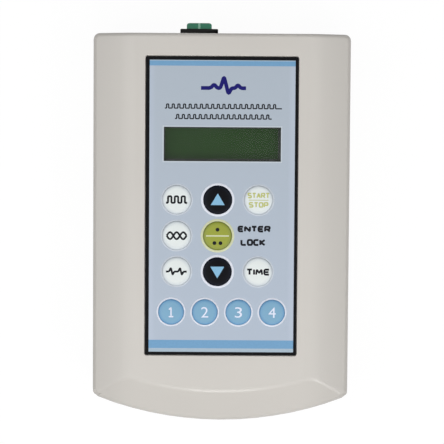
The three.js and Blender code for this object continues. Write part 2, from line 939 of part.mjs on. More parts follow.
function mainBoard() {
  const board = boxOn(boardSize, 0, boardRear - boardSize[1] / 2, boardBottom);
  const holes = boardPostPlaces.map(([x, y]) => (
    pillar(pinRadius + pinClearance, x, y, 0, boardTop + overrun, 10)
  ));
  const bossCuts = screwPlaces.map(([x, y]) => (
    pillar(bossRadius + boardClearance, x, y, 0, boardTop + overrun)
  ));
  const switchCut = block(
    switchX - switchBody[0] / 2 - switchRoom,
    switchX + switchBody[0] / 2 + switchRoom,
    rearFace - switchBody[2] - terminalSize[2] - switchRoom,
    rearY,
    0,
    boardTop + overrun,
  );
  return cut(board, ...holes, ...bossCuts, switchCut);
}

// a board-mounted socket whose sleeve ends level with the rear panel
function socket(x, z, body, sleeveRadius, boreRadius, boreDepth, sides) {
  const shell = unite(
    boxOn(body, x, jackFront - body[1] / 2, z - body[2] / 2),
    rod(sleeveRadius, x, z, jackFront - overrun, rearFace, 24),
  );
  return cut(shell, rod(boreRadius, x, z, rearFace - boreDepth, rearFace + overrun, sides));
}

function channelJack(x) {
  return socket(
    x,
    channelJackZ,
    channelJackBody,
    channelSleeveRadius,
    channelBoreRadius,
    channelBoreDepth,
    16,
  );
}

function powerJack() {
  const shell = socket(
    powerJackX,
    powerJackZ,
    powerJackBody,
    powerSleeveRadius,
    powerBoreRadius,
    powerBoreDepth,
    20,
  );
  const pinRoot = rearFace - powerBoreDepth - overrun;
  const pinEnd = rearFace - powerPinSetback;
  return unite(shell, rod(powerPinRadius, powerJackX, powerJackZ, pinRoot, pinEnd, 10));
}

// an iron core round the middle of a wound bobbin, standing on the bobbin's foot
function transformer(x) {
  const base = boardTop + layerGap;
  return unite(
    boxOn(coreSize, x, transformerMiddle, base),
    boxOn(windingSize, x, transformerMiddle, base + bobbinFootSize[2] / 2),
    boxOn(bobbinFootSize, x, transformerMiddle, base),
  );
}

// ---------------------------------------------------------------- batteries

const cellPlaces = [0, 1, 2, 3].map((i) => (i - (cellCount - 1) / 2) * cellPitch);
const cellFront = bayFrontY + bayClearance + contactThickness + contactDepth;

function batteryCell(x, turnedRound) {
  const points = [
    [0, 0],
    [cellRadius - cellEdge, 0],
    [cellRadius, cellEdge],
    [cellRadius, cellLength - cellEdge],
    [cellRadius - cellEdge, cellLength],
    [cellNubRadius, cellLength],
    [cellNubRadius, cellLength + cellNub],
    [0, cellLength + cellNub],
  ].map(([radius, along]) => new THREE.Vector2(radius, along));
  const geometry = new THREE.LatheGeometry(points, 16);
  if (turnedRound) {
    geometry.rotateX(Math.PI);
    geometry.translate(0, cellLength + cellNub, 0);
  }
  geometry.translate(x, cellFront, cellHeight);
  return toSolid(geometry);
}

// a plate across one end of the bay, with a sprung cone or a flat button facing each cell
function batteryContact(wallY, inward) {
  const plateBack = wallY + inward * bayClearance;
  const plateFront = plateBack + inward * contactThickness;
  const tip = plateFront + inward * (contactDepth - seatGap);
  const halfWidth = bayHalfWidth - contactMargin;
  const halfHeight = cellRadius - contactMargin;
  const plate = blockBetween(
    [-halfWidth, plateBack, cellHeight - halfHeight],
    [halfWidth, plateFront, cellHeight + halfHeight],
  );
  const cones = cellPlaces.map((x, i) => {
    const sprung = (i % 2 === 0) === (inward > 0);
    const root = sprung ? springRootRadius : buttonRootRadius;
    const geometry = new THREE.CylinderGeometry(contactTipRadius, root, Math.abs(tip - plateBack), 12);
    if (inward < 0) {
      geometry.rotateX(Math.PI);
    }
    geometry.translate(x, (plateBack + tip) / 2, cellHeight);
    return toSolid(geometry);
  });
  return unite(plate, ...cones);
}

// ---------------------------------------------------------------- screws and feet

// a cross-head screw standing head down, its point upwards
function caseScrew(x, y) {
  const face = screwHeadBase + seatGap;
  const head = screwHeadBase + screwHeadHeight - seatGap;
  const body = turned([
    [0, face],
    [screwHeadRadius - screwHeadEdge, face],
    [screwHeadRadius, face + screwHeadEdge],
    [screwHeadRadius, head],
    [screwRadius, head],
    [screwRadius, screwHeadBase + screwLength - screwPoint],
    [0, screwHeadBase + screwLength],
  ], x, y, 16);
  const [crossLength, crossWidth, crossDepth] = screwCross;
  return cut(
    body,
    boxOn([crossLength, crossWidth, crossDepth + overrun], x, y, face - overrun),
    boxOn([crossWidth, crossLength, crossDepth + overrun], x, y, face - overrun),
  );
}

function foot(x, y) {
  const seat = caseBottom + footSeatDepth;
  return turned([
    [0, 0],
    [footRadius - footEdgeRadius, 0],
    [footRadius - cornerCut * footEdgeRadius, cornerCut * footEdgeRadius],
    [footRadius, footEdgeRadius],
    [footRadius, seat],
    [0, seat],
  ], x, y, 24);
}

// ---------------------------------------------------------------- assembly

const unit = new THREE.Group();
// the rocker stands out behind the case, so the case sits forward by half of that
unit.position.y = -(rockerTip - rearY) / 2;

function add(name, solid, color, roughness, metalness = 0) {
  const mesh = new THREE.Mesh(
    toGeometry(solid),
    new THREE.MeshStandardMaterial({ color, roughness, metalness }),
  );
  mesh.name = name;
  unit.add(mesh);
}

const casePlastic = '#cbc8c0';
const boardGreen = '#1f5a38';
const steel = '#b8bcc0';
const black = '#15171a';

add('top_cover', topCover(), casePlastic, 0.5);
add('bottom_cover', bottomCover(), casePlastic, 0.5);
add('rear_panel', rearPanel(), '#c6c3bb', 0.5);
add('battery_door', batteryDoor(), casePlastic, 0.5);

add('graphic_overlay', graphicOverlay(), '#b2bfcb', 0.35);
add('keypad_spacer', keypadSpacer(), '#d9dce0', 0.6);
add('keypad_circuit', keypadCircuit(), '#c49a3a', 0.5);
add('display_lens', displayLens(), '#9fb0a4', 0.1);
keys.forEach((key) => add(key.name, keyCap(key), key.color, 0.35));
keys.forEach((key) => add(key.name.replace('key', 'dome'), keyDome(key), steel, 0.3, 1));

add('display_glass', displayGlass(), '#2f472b', 0.15);
add('display_board', displayBoard(), boardGreen, 0.5);

add('power_switch_body', switchHousing(), black, 0.4);
add('power_switch_rocker', switchRocker(), '#2e6a4f', 0.25);
add('main_board', mainBoard(), boardGreen, 0.5);
channelJackPlaces.forEach((x, i) => add(`channel_jack_${i + 1}`, channelJack(x), black, 0.4));
add('power_jack', powerJack(), black, 0.4);
channelJackPlaces.forEach((x, i) => (
  add(`output_transformer_${i + 1}`, transformer(x), '#3a2f26', 0.6)
));

cellPlaces.forEach((x, i) => (
  add(`battery_cell_${i + 1}`, batteryCell(x, i % 2 === 1), '#3b3f45', 0.35, 0.4)
));
add('battery_contact_front', batteryContact(bayFrontY, 1), steel, 0.35, 1);
add('battery_contact_rear', batteryContact(bayRearY, -1), steel, 0.35, 1);

screwPlaces.forEach(([x, y], i) => add(`case_screw_${i + 1}`, caseScrew(x, y), steel, 0.35, 1));
footPlaces.forEach(([x, y], i) => add(`foot_${i + 1}`, foot(x, y), '#26282a', 0.85));

export default unit;
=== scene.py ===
"""Looks of a four-channel tens unit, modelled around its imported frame.

Measures are in metres, with +Z up and +Y to the rear.
"""

import math

import bmesh
import bpy
from mathutils import Matrix, Vector


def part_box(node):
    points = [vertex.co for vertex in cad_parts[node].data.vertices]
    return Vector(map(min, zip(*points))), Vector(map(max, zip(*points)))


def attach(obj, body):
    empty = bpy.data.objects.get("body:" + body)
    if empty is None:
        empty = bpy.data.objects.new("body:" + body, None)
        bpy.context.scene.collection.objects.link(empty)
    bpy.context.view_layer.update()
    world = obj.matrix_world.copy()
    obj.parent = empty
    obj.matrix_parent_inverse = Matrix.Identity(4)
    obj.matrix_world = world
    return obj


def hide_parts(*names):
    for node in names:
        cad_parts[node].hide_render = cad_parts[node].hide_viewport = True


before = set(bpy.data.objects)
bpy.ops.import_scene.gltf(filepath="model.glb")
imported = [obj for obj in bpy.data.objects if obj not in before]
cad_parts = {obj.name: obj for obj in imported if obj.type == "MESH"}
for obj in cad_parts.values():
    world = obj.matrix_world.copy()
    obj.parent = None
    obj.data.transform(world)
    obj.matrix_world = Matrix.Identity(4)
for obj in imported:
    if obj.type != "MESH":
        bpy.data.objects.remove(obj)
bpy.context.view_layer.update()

bl_info = {
    "name": "Tens Unit Builder",
    "version": (1, 0, 0),
    "blender": (4, 5, 0),
    "location": "View3D > Sidebar > Tens Unit",
    "description": "Models the shells, keypad, display, switch and sockets of a tens unit",
    "category": "Object",
}

MM = 0.001
MODE_KEYS = ("mode_1", "mode_2", "mode_3")
CHANNELS = (1, 2, 3, 4)
# an edge this near an outer face belongs to it
SKIN = 0.1 * MM
# shares of the flat radius and of the crown's rise, from a key's edge inwards
CROWN = ((0.9, 0.35), (0.72, 0.8))
# share of a key's radius where its colour begins to turn towards the painted shade of its rolled
# edge, a painted sheen on the black key
EVEN_SHARE = 0.72
# columns of cells in the display, and points in the ring on the rocker
CELLS = 16
RING_POINTS = 24

# each word's shift from the point it belongs to, and its size, in millimetres
WORDS = {
    "START": ((0, 2.05), (10.0, 2.5)),
    "STOP": ((0, -2.1), (8.8, 2.5)),
    "TIME": ((0, 0), (10.6, 3.1)),
    "ENTER": ((-1.9, 3.1), (14.9, 3.0)),
    "LOCK": ((-2.3, -2.9), (11.3, 3.1)),
}
# marks on the keys in millimetres: half an arrow's width and height and its shift, the dots and
# the bar of the enter key, the bar between start and stop, and the widths of a 1 and of the
# other numerals
ARROW = (3.1, 2.6, 0.3)
DOTS = ((0, 2.8), (-1.35, -3.2), (1.35, -3.2))
ENTER_BAR = (10.2, 0.6)
STOP_BAR = (8.8, 0.3)
NUMERAL_WIDTHS = (2.7, 3.2)
SOCKET_NUMBER_WIDTHS = (1.7, 1.9)
# the heading in millimetres: its shift across, its drop below the rear edge of the overlay, and
# the drop and half length of each row of pulses under it
HEADING_SHIFT = 0.6
HEADING_DROP = 12.7
PULSE_ROWS = ((22, 26), (26.6, 21.5))

# the camera's field in degrees, its place in millimetres and its turn in degrees
CAMERA_ANGLE = 14.807
CAMERA_PLACE = (-4.9, 45.2, 800.2)
CAMERA_TURN = (-3.356, -0.371, 0.387)
# each lamp's place and size in metres, and the setting that holds its level
LAMPS = {
    "key_lamp": ((-0.42, -0.1, 0.8), 0.8, "key_level"),
    "fill_lamp": ((0.42, -0.1, 0.8), 0.8, "fill_level"),
    "crest_lamp": ((0, -0.57, 0.84), 0.14, "crest_level"),
    "ridge_lamp": ((0.45, -0.6, 0.78), 0.14, "crest_level"),
}

# plain letters as strokes in a unit square, and the width of each where it isn't one
GAP = 0.42
LETTER_WIDTHS = {"I": 0.01, "M": 1.25, "N": 1.05, "1": 0.62}
LETTERS = {
    "A": [[(0, 0), (0.5, 1), (1, 0)], [(0.2, 0.36), (0.8, 0.36)]],
    "C": [[(1, 1), (0.1, 1), (0, 0.5), (0.1, 0), (1, 0)]],
    "E": [[(1, 1), (0.1, 1), (0, 0.5), (0.1, 0), (1, 0)], [(0.05, 0.5), (0.9, 0.5)]],
    "I": [[(0.5, 0), (0.5, 1)]],
    "K": [[(0, 0), (0, 1)], [(1, 1), (0.1, 0.48), (1, 0)]],
    "L": [[(0, 1), (0, 0), (1, 0)]],
    "M": [[(0, 0), (0.12, 1), (0.5, 0.3), (0.88, 1), (1, 0)]],
    "N": [[(0, 0), (0, 1), (1, 0), (1, 1)]],
    "O": [[(0.5, 1), (0.06, 1), (0, 0.5), (0.06, 0), (0.94, 0), (1, 0.5), (0.94, 1), (0.5, 1)]],
    "P": [[(0, 0), (0, 1), (1, 1), (1, 0.42), (0, 0.42)]],
    "R": [[(0, 0), (0, 1), (1, 1), (0.95, 0.46), (0, 0.46)], [(0.5, 0.46), (1, 0)]],
    "S": [[(1, 1), (0, 1), (0.04, 0.54), (0.96, 0.46), (1, 0), (0, 0)]],
    "T": [[(0, 1), (1, 1)], [(0.5, 1), (0.5, 0)]],
    "1": [[(0.05, 0.78), (0.5, 1), (0.5, 0)], [(0, 0), (1, 0)]],
}


# ---------------------------------------------------------------- measures of the frame


def tint(red, green, blue):
    """A colour written in display values from 0 to 255, as linear light"""
    shares = (value / 255 for value in (red, green, blue))
    return tuple(
        share / 12.92 if share <= 0.04045 else ((share + 0.055) / 1.055) ** 2.4
        for share in shares
    )


def nodes_named(start):
    return sorted(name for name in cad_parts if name.startswith(start))


def centre_of(node):
    low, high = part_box(node)
    return (low + high) / 2


# ---------------------------------------------------------------- sizes and colours


def colour(name, description, red, green, blue):
    return bpy.props.FloatVectorProperty(
        name=name,
        description=description,
        default=tint(red, green, blue),
        subtype="COLOR",
        size=3,
        min=0,
        max=1,
    )


def length(name, description, millimetres):
    return bpy.props.FloatProperty(
        name=name,
        description=description,
        default=millimetres * MM,
        unit="LENGTH",
        subtype="DISTANCE",
        precision=5,
    )


def level(name, description, strength):
    return bpy.props.FloatProperty(
        name=name, description=description, default=strength, subtype="FACTOR", min=0, max=2
    )


class CaseSettings(bpy.types.PropertyGroup):
    """Case shells, rear panel and battery door"""

    shell: colour("Shell", "Warm grey of the moulded shells", 202, 198, 192)
    plate: colour("Rear panel", "Grey of the rear panel", 196, 193, 186)
    rim: length("Rim radius", "Rounding of the rim round the top", 1.9)
    crease: length("Crease", "Reach of the soft bend where the top turns down", 1.4)
    short_edge: length("Short edge", "Rim edges shorter than this are merged before rounding", 0.9)
    seam: length("Seam edge", "Rounding of the edges at the seam", 0.35)
    small_edge: length("Small edge", "Rounding of small moulded edges", 0.25)
    bow: length("Bow", "Radius of the bowed front, in plan", 154)
    brow: length("Brow", "Depth of the sloping brow below the top", 8)
    wall_reach: length("Wall reach", "Depth that counts as the outer wall", 1.3)
    corner_reach: length("Corner reach", "Depth that counts as a rear corner", 5)
    seam_reach: length("Seam reach", "Height above the seam that counts as its edge", 0.5)
    brim: length("Brim", "Depth below the lower shell's brim that stays sharp", 2)
    recess_reach: length("Recess reach", "Distance past the overlay that counts as its recess", 1)
    number_stroke: length("Number stroke", "Stroke width of the 1 by its socket", 0.4)
    number_height: length("Number height", "Height of the numbers by the sockets", 3)
    number_rise: length("Number rise", "From a socket up to its number", 7)


class PanelSettings(bpy.types.PropertyGroup):
    """Printed overlay of the control panel"""

    field: colour("Field", "Pale blue of the overlay, towards the rear", 169, 180, 192)
    field_front: colour("Field front", "Pale blue of the overlay, towards the front", 170, 182, 198)
    margin: colour("Margin", "Lighter margin along both sides", 180, 191, 208)
    band: colour("Band", "Blue bands across both ends", 117, 162, 199)
    strip: colour("Strip", "Light strip outside each band", 169, 187, 201)
    border: colour("Border", "Black border", 8, 9, 12)
    dark_ink: colour("Dark ink", "Words and marks in black", 16, 17, 24)
    navy_ink: colour("Navy ink", "Heading marks in navy", 22, 20, 104)
    border_width: length("Border width", "Width of the black border", 1.45)
    print_shift: length("Print shift", "How far the printing is off centre", 0.18)
    rear_band_start: length("Rear band start", "From the edge to the rear band", 1.9)
    rear_band_end: length("Rear band end", "From the edge to the far side of the rear band", 4.1)
    front_band_start: length("Front band start", "From the edge to the front band", 3.0)
    front_band_end: length("Front band end", "From the edge to the far side of the front band", 6.7)
    corner: length("Corner radius", "Corner radius of the overlay", 0.7)
    ink_height: length("Ink height", "How far printing stands above its surface", 0.03)
    lens_lap: length("Window lap", "How far the clear window reaches under the overlay", 2.4)
    line: colour("Window line", "Pale line round the display window", 196, 205, 213)
    line_width: length("Window line width", "Width of that line", 0.55)
    bezel_reach: length("Bezel reach", "How far the frame under the window goes past its edge", 0.9)
    window_corner: length("Window corner", "Corner radius of the clear window", 0.6)
    glass_corner: length("Glass corner", "Corner radius of the display glass", 0.5)
    cell_margin: length("Cell margin", "Plain margin beside the display's cells", 1)
    strip_reach: length("Strip reach", "Depth past the front band's start that is still strip", 1)
    small_gap: length("Small gap", "Gap round that frame", 0.1)
    # the dark strip round the display is partly its own dark border and partly painted shade of the
    # recess, wider at the right and front
    view_near: length("View margin", "Dark margin at the left and rear of the display", 0.6)
    view_far: length("Wide view margin", "Dark margin at the right and front of it", 1.1)
    bezel: colour("Bezel", "Black of the frame under the window", 14, 16, 14)
    screen: colour("Screen", "Olive green of the display", 34, 65, 24)
    screen_edge: colour("Screen edge", "Dark edge round the display", 12, 26, 12)


class KeySettings(bpy.types.PropertyGroup):
    """Keys, their rims and their legends"""

    white: colour("White key", "White of the mode keys", 222, 228, 227)
    # each key's edge colour is a painted shade on its rolled edge; the black key's lighter one is a
    # painted sheen
    white_edge: colour("White key edge", "Shade at the edge of a white key", 202, 210, 216)
    black: colour("Black key", "Black of the arrow keys", 7, 8, 14)
    black_edge: colour("Black key edge", "Shade at the edge of a black key", 16, 20, 32)
    olive: colour("Olive key", "Olive of the enter key", 140, 148, 10)
    olive_edge: colour("Olive key edge", "Shade at the edge of the enter key", 116, 126, 26)
    blue: colour("Blue key", "Blue of the channel keys", 112, 160, 190)
    blue_edge: colour("Blue key edge", "Shade at the edge of a channel key", 88, 142, 186)
    rim_white: colour("White rim", "Rim round the dark and blue keys", 226, 230, 240)
    rim_olive: colour("Olive rim", "Rim round the enter key", 210, 214, 178)
    rim_field: colour("Plain rim", "Rim round the white keys", 196, 203, 212)
    arrow: colour("Arrow", "Light blue of the arrows", 136, 186, 218)
    numeral: colour("Numeral", "Numerals on the channel keys", 226, 230, 246)
    olive_ink: colour("Olive ink", "Start and stop legend", 188, 192, 118)
    flange: length("Flange", "How far the hidden flange reaches beyond the key", 0.9)
    flange_height: length("Flange height", "Thickness of the hidden flange", 0.3)
    edge: length("Key edge", "Reach of the rolled edge in from the side of a key", 1.3)
    crown_drop: length("Crown drop", "Fall of the crown towards its edge", 0.1)
    hole: length("Hole gap", "Gap between a key and the overlay", 0.25)
    rim_root: length("Rim root", "How far a rim reaches down into the overlay", 0.1)
    hair_gap: length("Hair gap", "Gap that shows between a key and its rim", 0.06)
    wide_rim: length("Rim width", "Width of the rim round a large key", 1.0)
    channel_rim: length("Channel rim width", "Width of the rim round a channel key", 0.7)
    rim_height: length("Rim height", "Height of a rim above the overlay", 0.28)
    plain_rim: length("Plain rim width", "Width of the faint rim round a white key", 0.6)
    plain_rim_height: length("Plain rim height", "Height of that rim", 0.12)
    stroke: length("Stroke", "Stroke width of the dark legends on the keys", 0.85)
    small_stroke: length("Small stroke", "Stroke width of the start and stop legend", 0.6)
    numeral_height: length("Numeral height", "Height of the numerals on the channel keys", 4.7)
    numeral_stroke: length("Numeral stroke", "Stroke width of the numeral one", 0.62)
    word_stroke: length("Word stroke", "Stroke width of the words beside the enter key", 0.92)
    heading_stroke: length("Heading stroke", "Stroke width of the heading", 1.7)
    train_stroke: length("Train stroke", "Stroke width of the rows of pulses", 0.55)
    dot_radius: length("Dot radius", "Radius of the dots on the enter key", 0.85)


class DetailSettings(bpy.types.PropertyGroup):
    """Switch, sockets, boards, batteries and small metalwork"""

    switch_black: colour("Switch black", "Black of the switch housing", 10, 11, 10)
    rocker: colour("Rocker", "Green of the rocker", 18, 124, 90)
    jack: colour("Socket black", "Black of the sockets", 16, 17, 19)
    mark: colour("Rocker mark", "Pale green marks on the rocker", 158, 208, 184)
    board: colour("Board", "Green of the circuit boards", 24, 84, 48)
    trace: colour("Trace", "Lighter green over the copper traces", 48, 122, 66)
    steel: colour("Steel", "Bright steel of contacts and screws", 190, 192, 196)
    brass: colour("Brass", "Plated brass in the sockets", 205, 178, 116)
    core: colour("Core", "Iron core of the transformers", 56, 50, 46)
    winding: colour("Winding tape", "Yellow tape round the windings", 206, 168, 60)
    cell: colour("Cell wrap", "Dark sleeve of the cells", 44, 50, 60)
    cell_band: colour("Cell band", "Copper-coloured end of the sleeve", 186, 132, 70)
    rubber: colour("Rubber", "Grey-black rubber of the feet", 38, 40, 42)
    spacer: colour("Spacer", "Milky spacer film", 214, 217, 222)
    circuit: colour("Circuit film", "Amber circuit film", 190, 138, 48)
    mark_width: length("Rocker mark width", "Width of the line on the rocker", 1.0)
    mark_length: length("Rocker mark length", "How far that line runs down from the top", 6.5)
    ring_radius: length("Ring radius", "Radius of the ring on the rocker's lower half", 1.7)
    ring_inset: length("Ring inset", "From the rocker's tip in to its lower face", 2.82)
    rocker_corner: length("Rocker corner", "Rounding of the rocker's outer corners", 1.4)
    rocker_edge: length("Rocker edge", "Rounding of the rocker's other edges and the flange", 0.4)
    ring_line: length("Ring line", "Width of the ring's line", 0.7)
    ring_height: length("Ring height", "How far the ring stands up", 0.075)
    long_edge: length("Long edge", "Edges longer than this are the rocker's outer corners", 5)
    rocker_tip: length("Rocker tip", "Depth that counts as the rocker's tip", 3)
    tag_length: length("Tag length", "Length of the switch's metal tags", 7.1)
    socket_edge: length("Socket edge", "Rounding of the sockets", 0.3)
    pin_reach: length("Pin reach", "Distance from the socket's middle that counts as its pin", 1.2)
    end_band: length("End band", "Length of the copper-coloured end of a cell", 13)
    band_edge: length("Band edge", "Width over which one colour of a cell turns to the other", 0.2)
    tape_foot: length("Tape foot", "From a transformer's foot up to its tape", 1.5)
    tape_top: length("Tape top", "From a transformer's top down to its tape", 1.2)
    screw_head: length("Screw head", "Depth that counts as the head of a screw", 0.5)
    screw_edge: length("Screw edge", "Rounding of the screw heads", 0.12)
    foot_edge: length("Foot edge", "Rounding of the feet", 1.0)
    foot_dish: length("Foot dish", "Depth of the hollow under a foot", 0.25)


class StageSettings(bpy.types.PropertyGroup):
    """Light that reaches a white surface facing each lamp, and the even light around"""

    key_level: level("Key light", "Light from the main lamp", 0.465)
    fill_level: level("Fill light", "Light from the second lamp", 0.35)
    crest_level: level("Crest light", "Light from each lamp in front", 0.11)
    sky_level: level("Surrounding light", "Even light from all round", 0.2)


# ---------------------------------------------------------------- materials


class Wire:
    """A node socket. Arithmetic on it adds Math nodes to its material."""

    def __init__(self, tree, socket=None):
        self.tree = tree
        self.socket = socket

    def node(self, kind, inputs=None, output=0, **settings):
        """Adds a node, sets it up, joins or sets its sockets and returns one output"""
        made = self.tree.nodes.new(kind)
        for name, value in settings.items():
            setattr(made, name, value)
        for name, value in (inputs or {}).items():
            if isinstance(value, Wire):
                self.tree.links.new(value.socket, made.inputs[name])
            else:
                made.inputs[name].default_value = value
        return Wire(self.tree, made.outputs[output] if made.outputs else None)

    def math(self, operation, *values):
        return self.node("ShaderNodeMath", dict(enumerate(values)), operation=operation)

    def __add__(self, other):
        return self.math("ADD", self, other)

    __radd__ = __add__

    def __sub__(self, other):
        return self.math("SUBTRACT", self, other)

    def __rsub__(self, other):
        return self.math("SUBTRACT", other, self)

    def __mul__(self, other):
        return self.math("MULTIPLY", self, other)

    __rmul__ = __mul__

    def noise(self, scale, detail=2):
        return self.node("ShaderNodeTexNoise", {"Vector": self, "Scale": scale, "Detail": detail})

    def part(self, axis):
        """One of x, y and z of a vector"""
        return self.node("ShaderNodeSeparateXYZ", {0: self}, output="XYZ".index(axis))

    def ramp(self, start, end):
        """0 before start, 1 after end and smooth between them"""
        return self.node(
            "ShaderNodeMapRange",
            {"Value": self, "From Min": start, "From Max": end},
            interpolation_type="SMOOTHSTEP",
        )

    def mix(self, first, second):
        """A colour between two, by this value"""
        first, second = (
            shade if isinstance(shade, Wire) else (*shade, 1) for shade in (first, second)
        )
        ends = {0: self, 6: first, 7: second}
        return self.node("ShaderNodeMix", ends, output=2, data_type="RGBA")

    def bump(self, depth):
        """A normal raised by this height"""
        return self.node("ShaderNodeBump", {"Height": self, "Distance": depth})


def blank(owner):
    """The start of an emptied node tree of a material or world"""
    owner.use_nodes = True
    owner.node_tree.nodes.clear()
    return Wire(owner.node_tree)


def surface(name, build, *values, **constants):
    """The material of that name, made the first time it is asked for"""
    material = bpy.data.materials.get(name)
    if material is None:
        material = bpy.data.materials.new(name)
        here = blank(material).node("ShaderNodeTexCoord", output="Object")
        shader = here.node("ShaderNodeBsdfPrincipled", {**build(here, *values), **constants})
        here.node("ShaderNodeOutputMaterial", {"Surface": shader})
    return material


def shaded(shade, share):
    return tuple(min(channel * share, 1) for channel in shade)


def mottled(cloud, shade, spread, roughness, uneven):
    """Colour and gloss that wander evenly about their values"""
    return {
        "Base Color": cloud.mix(shaded(shade, 1 - spread), shaded(shade, 1 + spread)),
        "Roughness": cloud * uneven + (roughness - uneven / 2),
    }


def moulded(here, shade, roughness):
    """Moulded plastic: faint clouds in the colour, a fine spark grain and uneven gloss"""
    made = mottled(here.noise(22, 3), shade, 0.035, roughness, 0.1)
    return {**made, "Normal": here.noise(1500, 3).bump(0.00003)}


def shell_plastic(here, shade):
    """Case plastic: moulded grain, painted shade darkening the sides towards their edges, and
    darker in patches low down
    """
    made = moulded(here, shade, 0.6)
    # painted shade: the colour darkens across both sides towards their outer edges, where the
    # shoulders turn away from the light
    across = here.part("X")
    painted_side_shade = across.math("ABSOLUTE", across).ramp(0.034, 0.059)
    # darker in noisy patches over the lowest part of the shells
    low_dark_patches = (1 - here.part("Z").ramp(0.002, 0.016)) * here.noise(90, 4) * 0.35
    plain = painted_side_shade.mix(made["Base Color"], shaded(shade, 0.89))
    made["Base Color"] = low_dark_patches.mix(plain, shaded(shade, 0.62))
    return made


# plain values for sockets of the shader
MATT_BLACK = {"Specular IOR Level": 0.06}
HOUSING_BLACK = {"Specular IOR Level": 0.12}
SCREEN = {"Specular IOR Level": 0.15}
SHEEN = {"Specular IOR Level": 0.15, "Coat Weight": 0.55, "Coat Roughness": 0.23}
THIN_COAT = {"Coat Weight": 0.1}


def film(here, rear, front, margin, middle, reach, half_width):
    """Overlay film: its colour drifts from rear to front and lightens along both sides"""
    along = here.part("Y").ramp(middle + reach, middle - reach)
    side = here.part("X").math("ABSOLUTE", here.part("X"))
    edge = side.ramp(half_width * 0.86, half_width * 0.93) * 0.55
    cloud = here.noise(60, 3)
    drift = edge.mix(along.mix(rear, front), margin)
    return {
        "Base Color": (cloud * 0.16).mix(drift, shaded(rear, 0.9)),
        "Roughness": cloud * 0.08 + 0.3,
        "Normal": here.noise(900, 2).bump(0.000012),
    }


def print_ink(here, shade, roughness=0.4):
    """Screen-printed ink: dense, with a faint tooth"""
    tooth = here.noise(1200, 3)
    made = mottled(tooth, shade, 0.07, roughness, 0.12)
    return {**made, "Specular IOR Level": 0.1, "Normal": tooth.bump(0.000008)}


def glossy(here, shade, roughness):
    """Hard polished plastic: nearly even, with faint ripples in its gloss"""
    made = mottled(here.noise(160, 3), shade, 0.03, roughness, 0.08)
    return {**made, "Normal": here.noise(420, 2).bump(0.000006)}


def crowned(here, shade, rim_shade, roughness):
    """Domed key: its colour turns towards another one at the rolled edge, a painted shade there (a
    painted sheen on the black key)
    """
    edge = here.node("ShaderNodeAttribute", output="Fac", attribute_name="edge_share")
    made = glossy(here, shade, roughness)
    made["Base Color"] = edge.mix(made["Base Color"], rim_shade)
    return made


def brushed(here, shade, roughness=0.3):
    """Plated or stamped metal: fine marks and slight tarnish"""
    mark = here.noise(2400, 4)
    tarnish = here.noise(180, 3)
    return {
        "Base Color": tarnish.mix(shaded(shade, 0.82), shaded(shade, 1.02)),
        "Roughness": mark * 0.2 + (roughness - 0.1),
        "Normal": mark.bump(0.000006),
        "Metallic": 1,
    }


def board_resist(here, shade, trace):
    """Circuit board: solder resist over square runs of copper"""
    lanes = here.node(
        "ShaderNodeTexBrick",
        {"Vector": here, "Scale": 160, "Mortar Size": 0.12, "Brick Width": 1.3, "Row Height": 0.34},
        output="Fac",
    )
    return {
        "Base Color": lanes.mix(shade, trace),
        "Roughness": here.noise(300, 2) * 0.1 + 0.3,
        "Normal": lanes.bump(0.00003),
    }


def taped(here, core, tape, low, high):
    """Transformer: dark laminated iron, with yellow tape round the winding"""
    layer = here.node(
        "ShaderNodeTexWave",
        {"Vector": here, "Scale": 500, "Distortion": 0.4},
        bands_direction="X",
    )
    wound = here.part("Z").ramp(low, low + 0.0002) * (1 - here.part("Z").ramp(high, high + 0.0002))
    return {
        "Base Color": wound.mix(shaded(core, 0.8), tape),
        "Roughness": here.noise(200, 2) * 0.2 + 0.4,
        "Normal": layer.bump(0.00002),
    }


def sleeved(here, wrap, band, start, end):
    """Cell sleeve: dark wrap with a copper-coloured end"""
    along = here.part("Y").ramp(start, end)
    return {
        "Base Color": along.mix(wrap, band),
        "Roughness": here.noise(140, 3) * 0.12 + 0.22,
        "Normal": here.noise(260, 3).bump(0.00001),
        "Metallic": 0.35,
    }


def rubbery(here, shade):
    """Soft rubber: matt, finely pitted, darker in the hollows and lighter on the peaks"""
    pits = here.noise(1800, 5)
    return {
        "Base Color": pits.mix(shaded(shade, 0.8), shaded(shade, 1.35)),
        "Roughness": pits * 0.12 + 0.78,
        "Normal": pits.bump(0.00004),
    }


def liquid_crystal(here, shade, edge, cells):
    """Reflective display: olive ground with a faint two-row grid of character cells"""
    grid = here.node(
        "ShaderNodeTexBrick",
        {
            "Vector": here.node(
                "ShaderNodeMapping",
                {"Vector": here, "Location": (-cells[0], -cells[1], 0)},
                vector_type="POINT",
            ),
            "Scale": 1 / cells[2],
            "Mortar Size": 0.09,
            "Brick Width": 1,
            "Row Height": 1.75,
        },
        output="Fac",
        offset=0,
    )
    cloud = here.noise(45, 3)
    ground = cloud.mix(shaded(shade, 0.86), shaded(shade, 1.16))
    return {
        "Base Color": (grid * 0.12 + 0.02).mix(ground, edge),
        "Roughness": cloud * 0.1 + 0.28,
        "Normal": here.noise(1500, 2).bump(0.000004),
    }


def clear_sheet(here):
    """Clear window: almost unseen, with a faint haze"""
    haze = here.noise(70, 4)
    return {
        "Base Color": haze.mix((0.02, 0.03, 0.02), (0.05, 0.07, 0.05)),
        "Roughness": haze * 0.06 + 0.08,
        "Alpha": haze * 0.04 + 0.06,
    }


# ---------------------------------------------------------------- modelling


def piece(bm, name, body, surfaces, stands_for=(), sharp=32, even=False):
    """Finishes a bmesh as an object that rides on a body"""
    mesh = bpy.data.meshes.new(name)
    bm.to_mesh(mesh)
    bm.free()
    for material in surfaces:
        mesh.materials.append(material)
    mesh.shade_smooth()
    mesh.set_sharp_from_angle(angle=math.radians(sharp))
    made = bpy.data.objects.new(name, mesh)
    bpy.context.scene.collection.objects.link(made)
    if even:
        weighted = made.modifiers.new("even_shading", "WEIGHTED_NORMAL")
        weighted.keep_sharp = True
    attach(made, body)
    if stands_for:
        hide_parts(*stands_for)
    return made


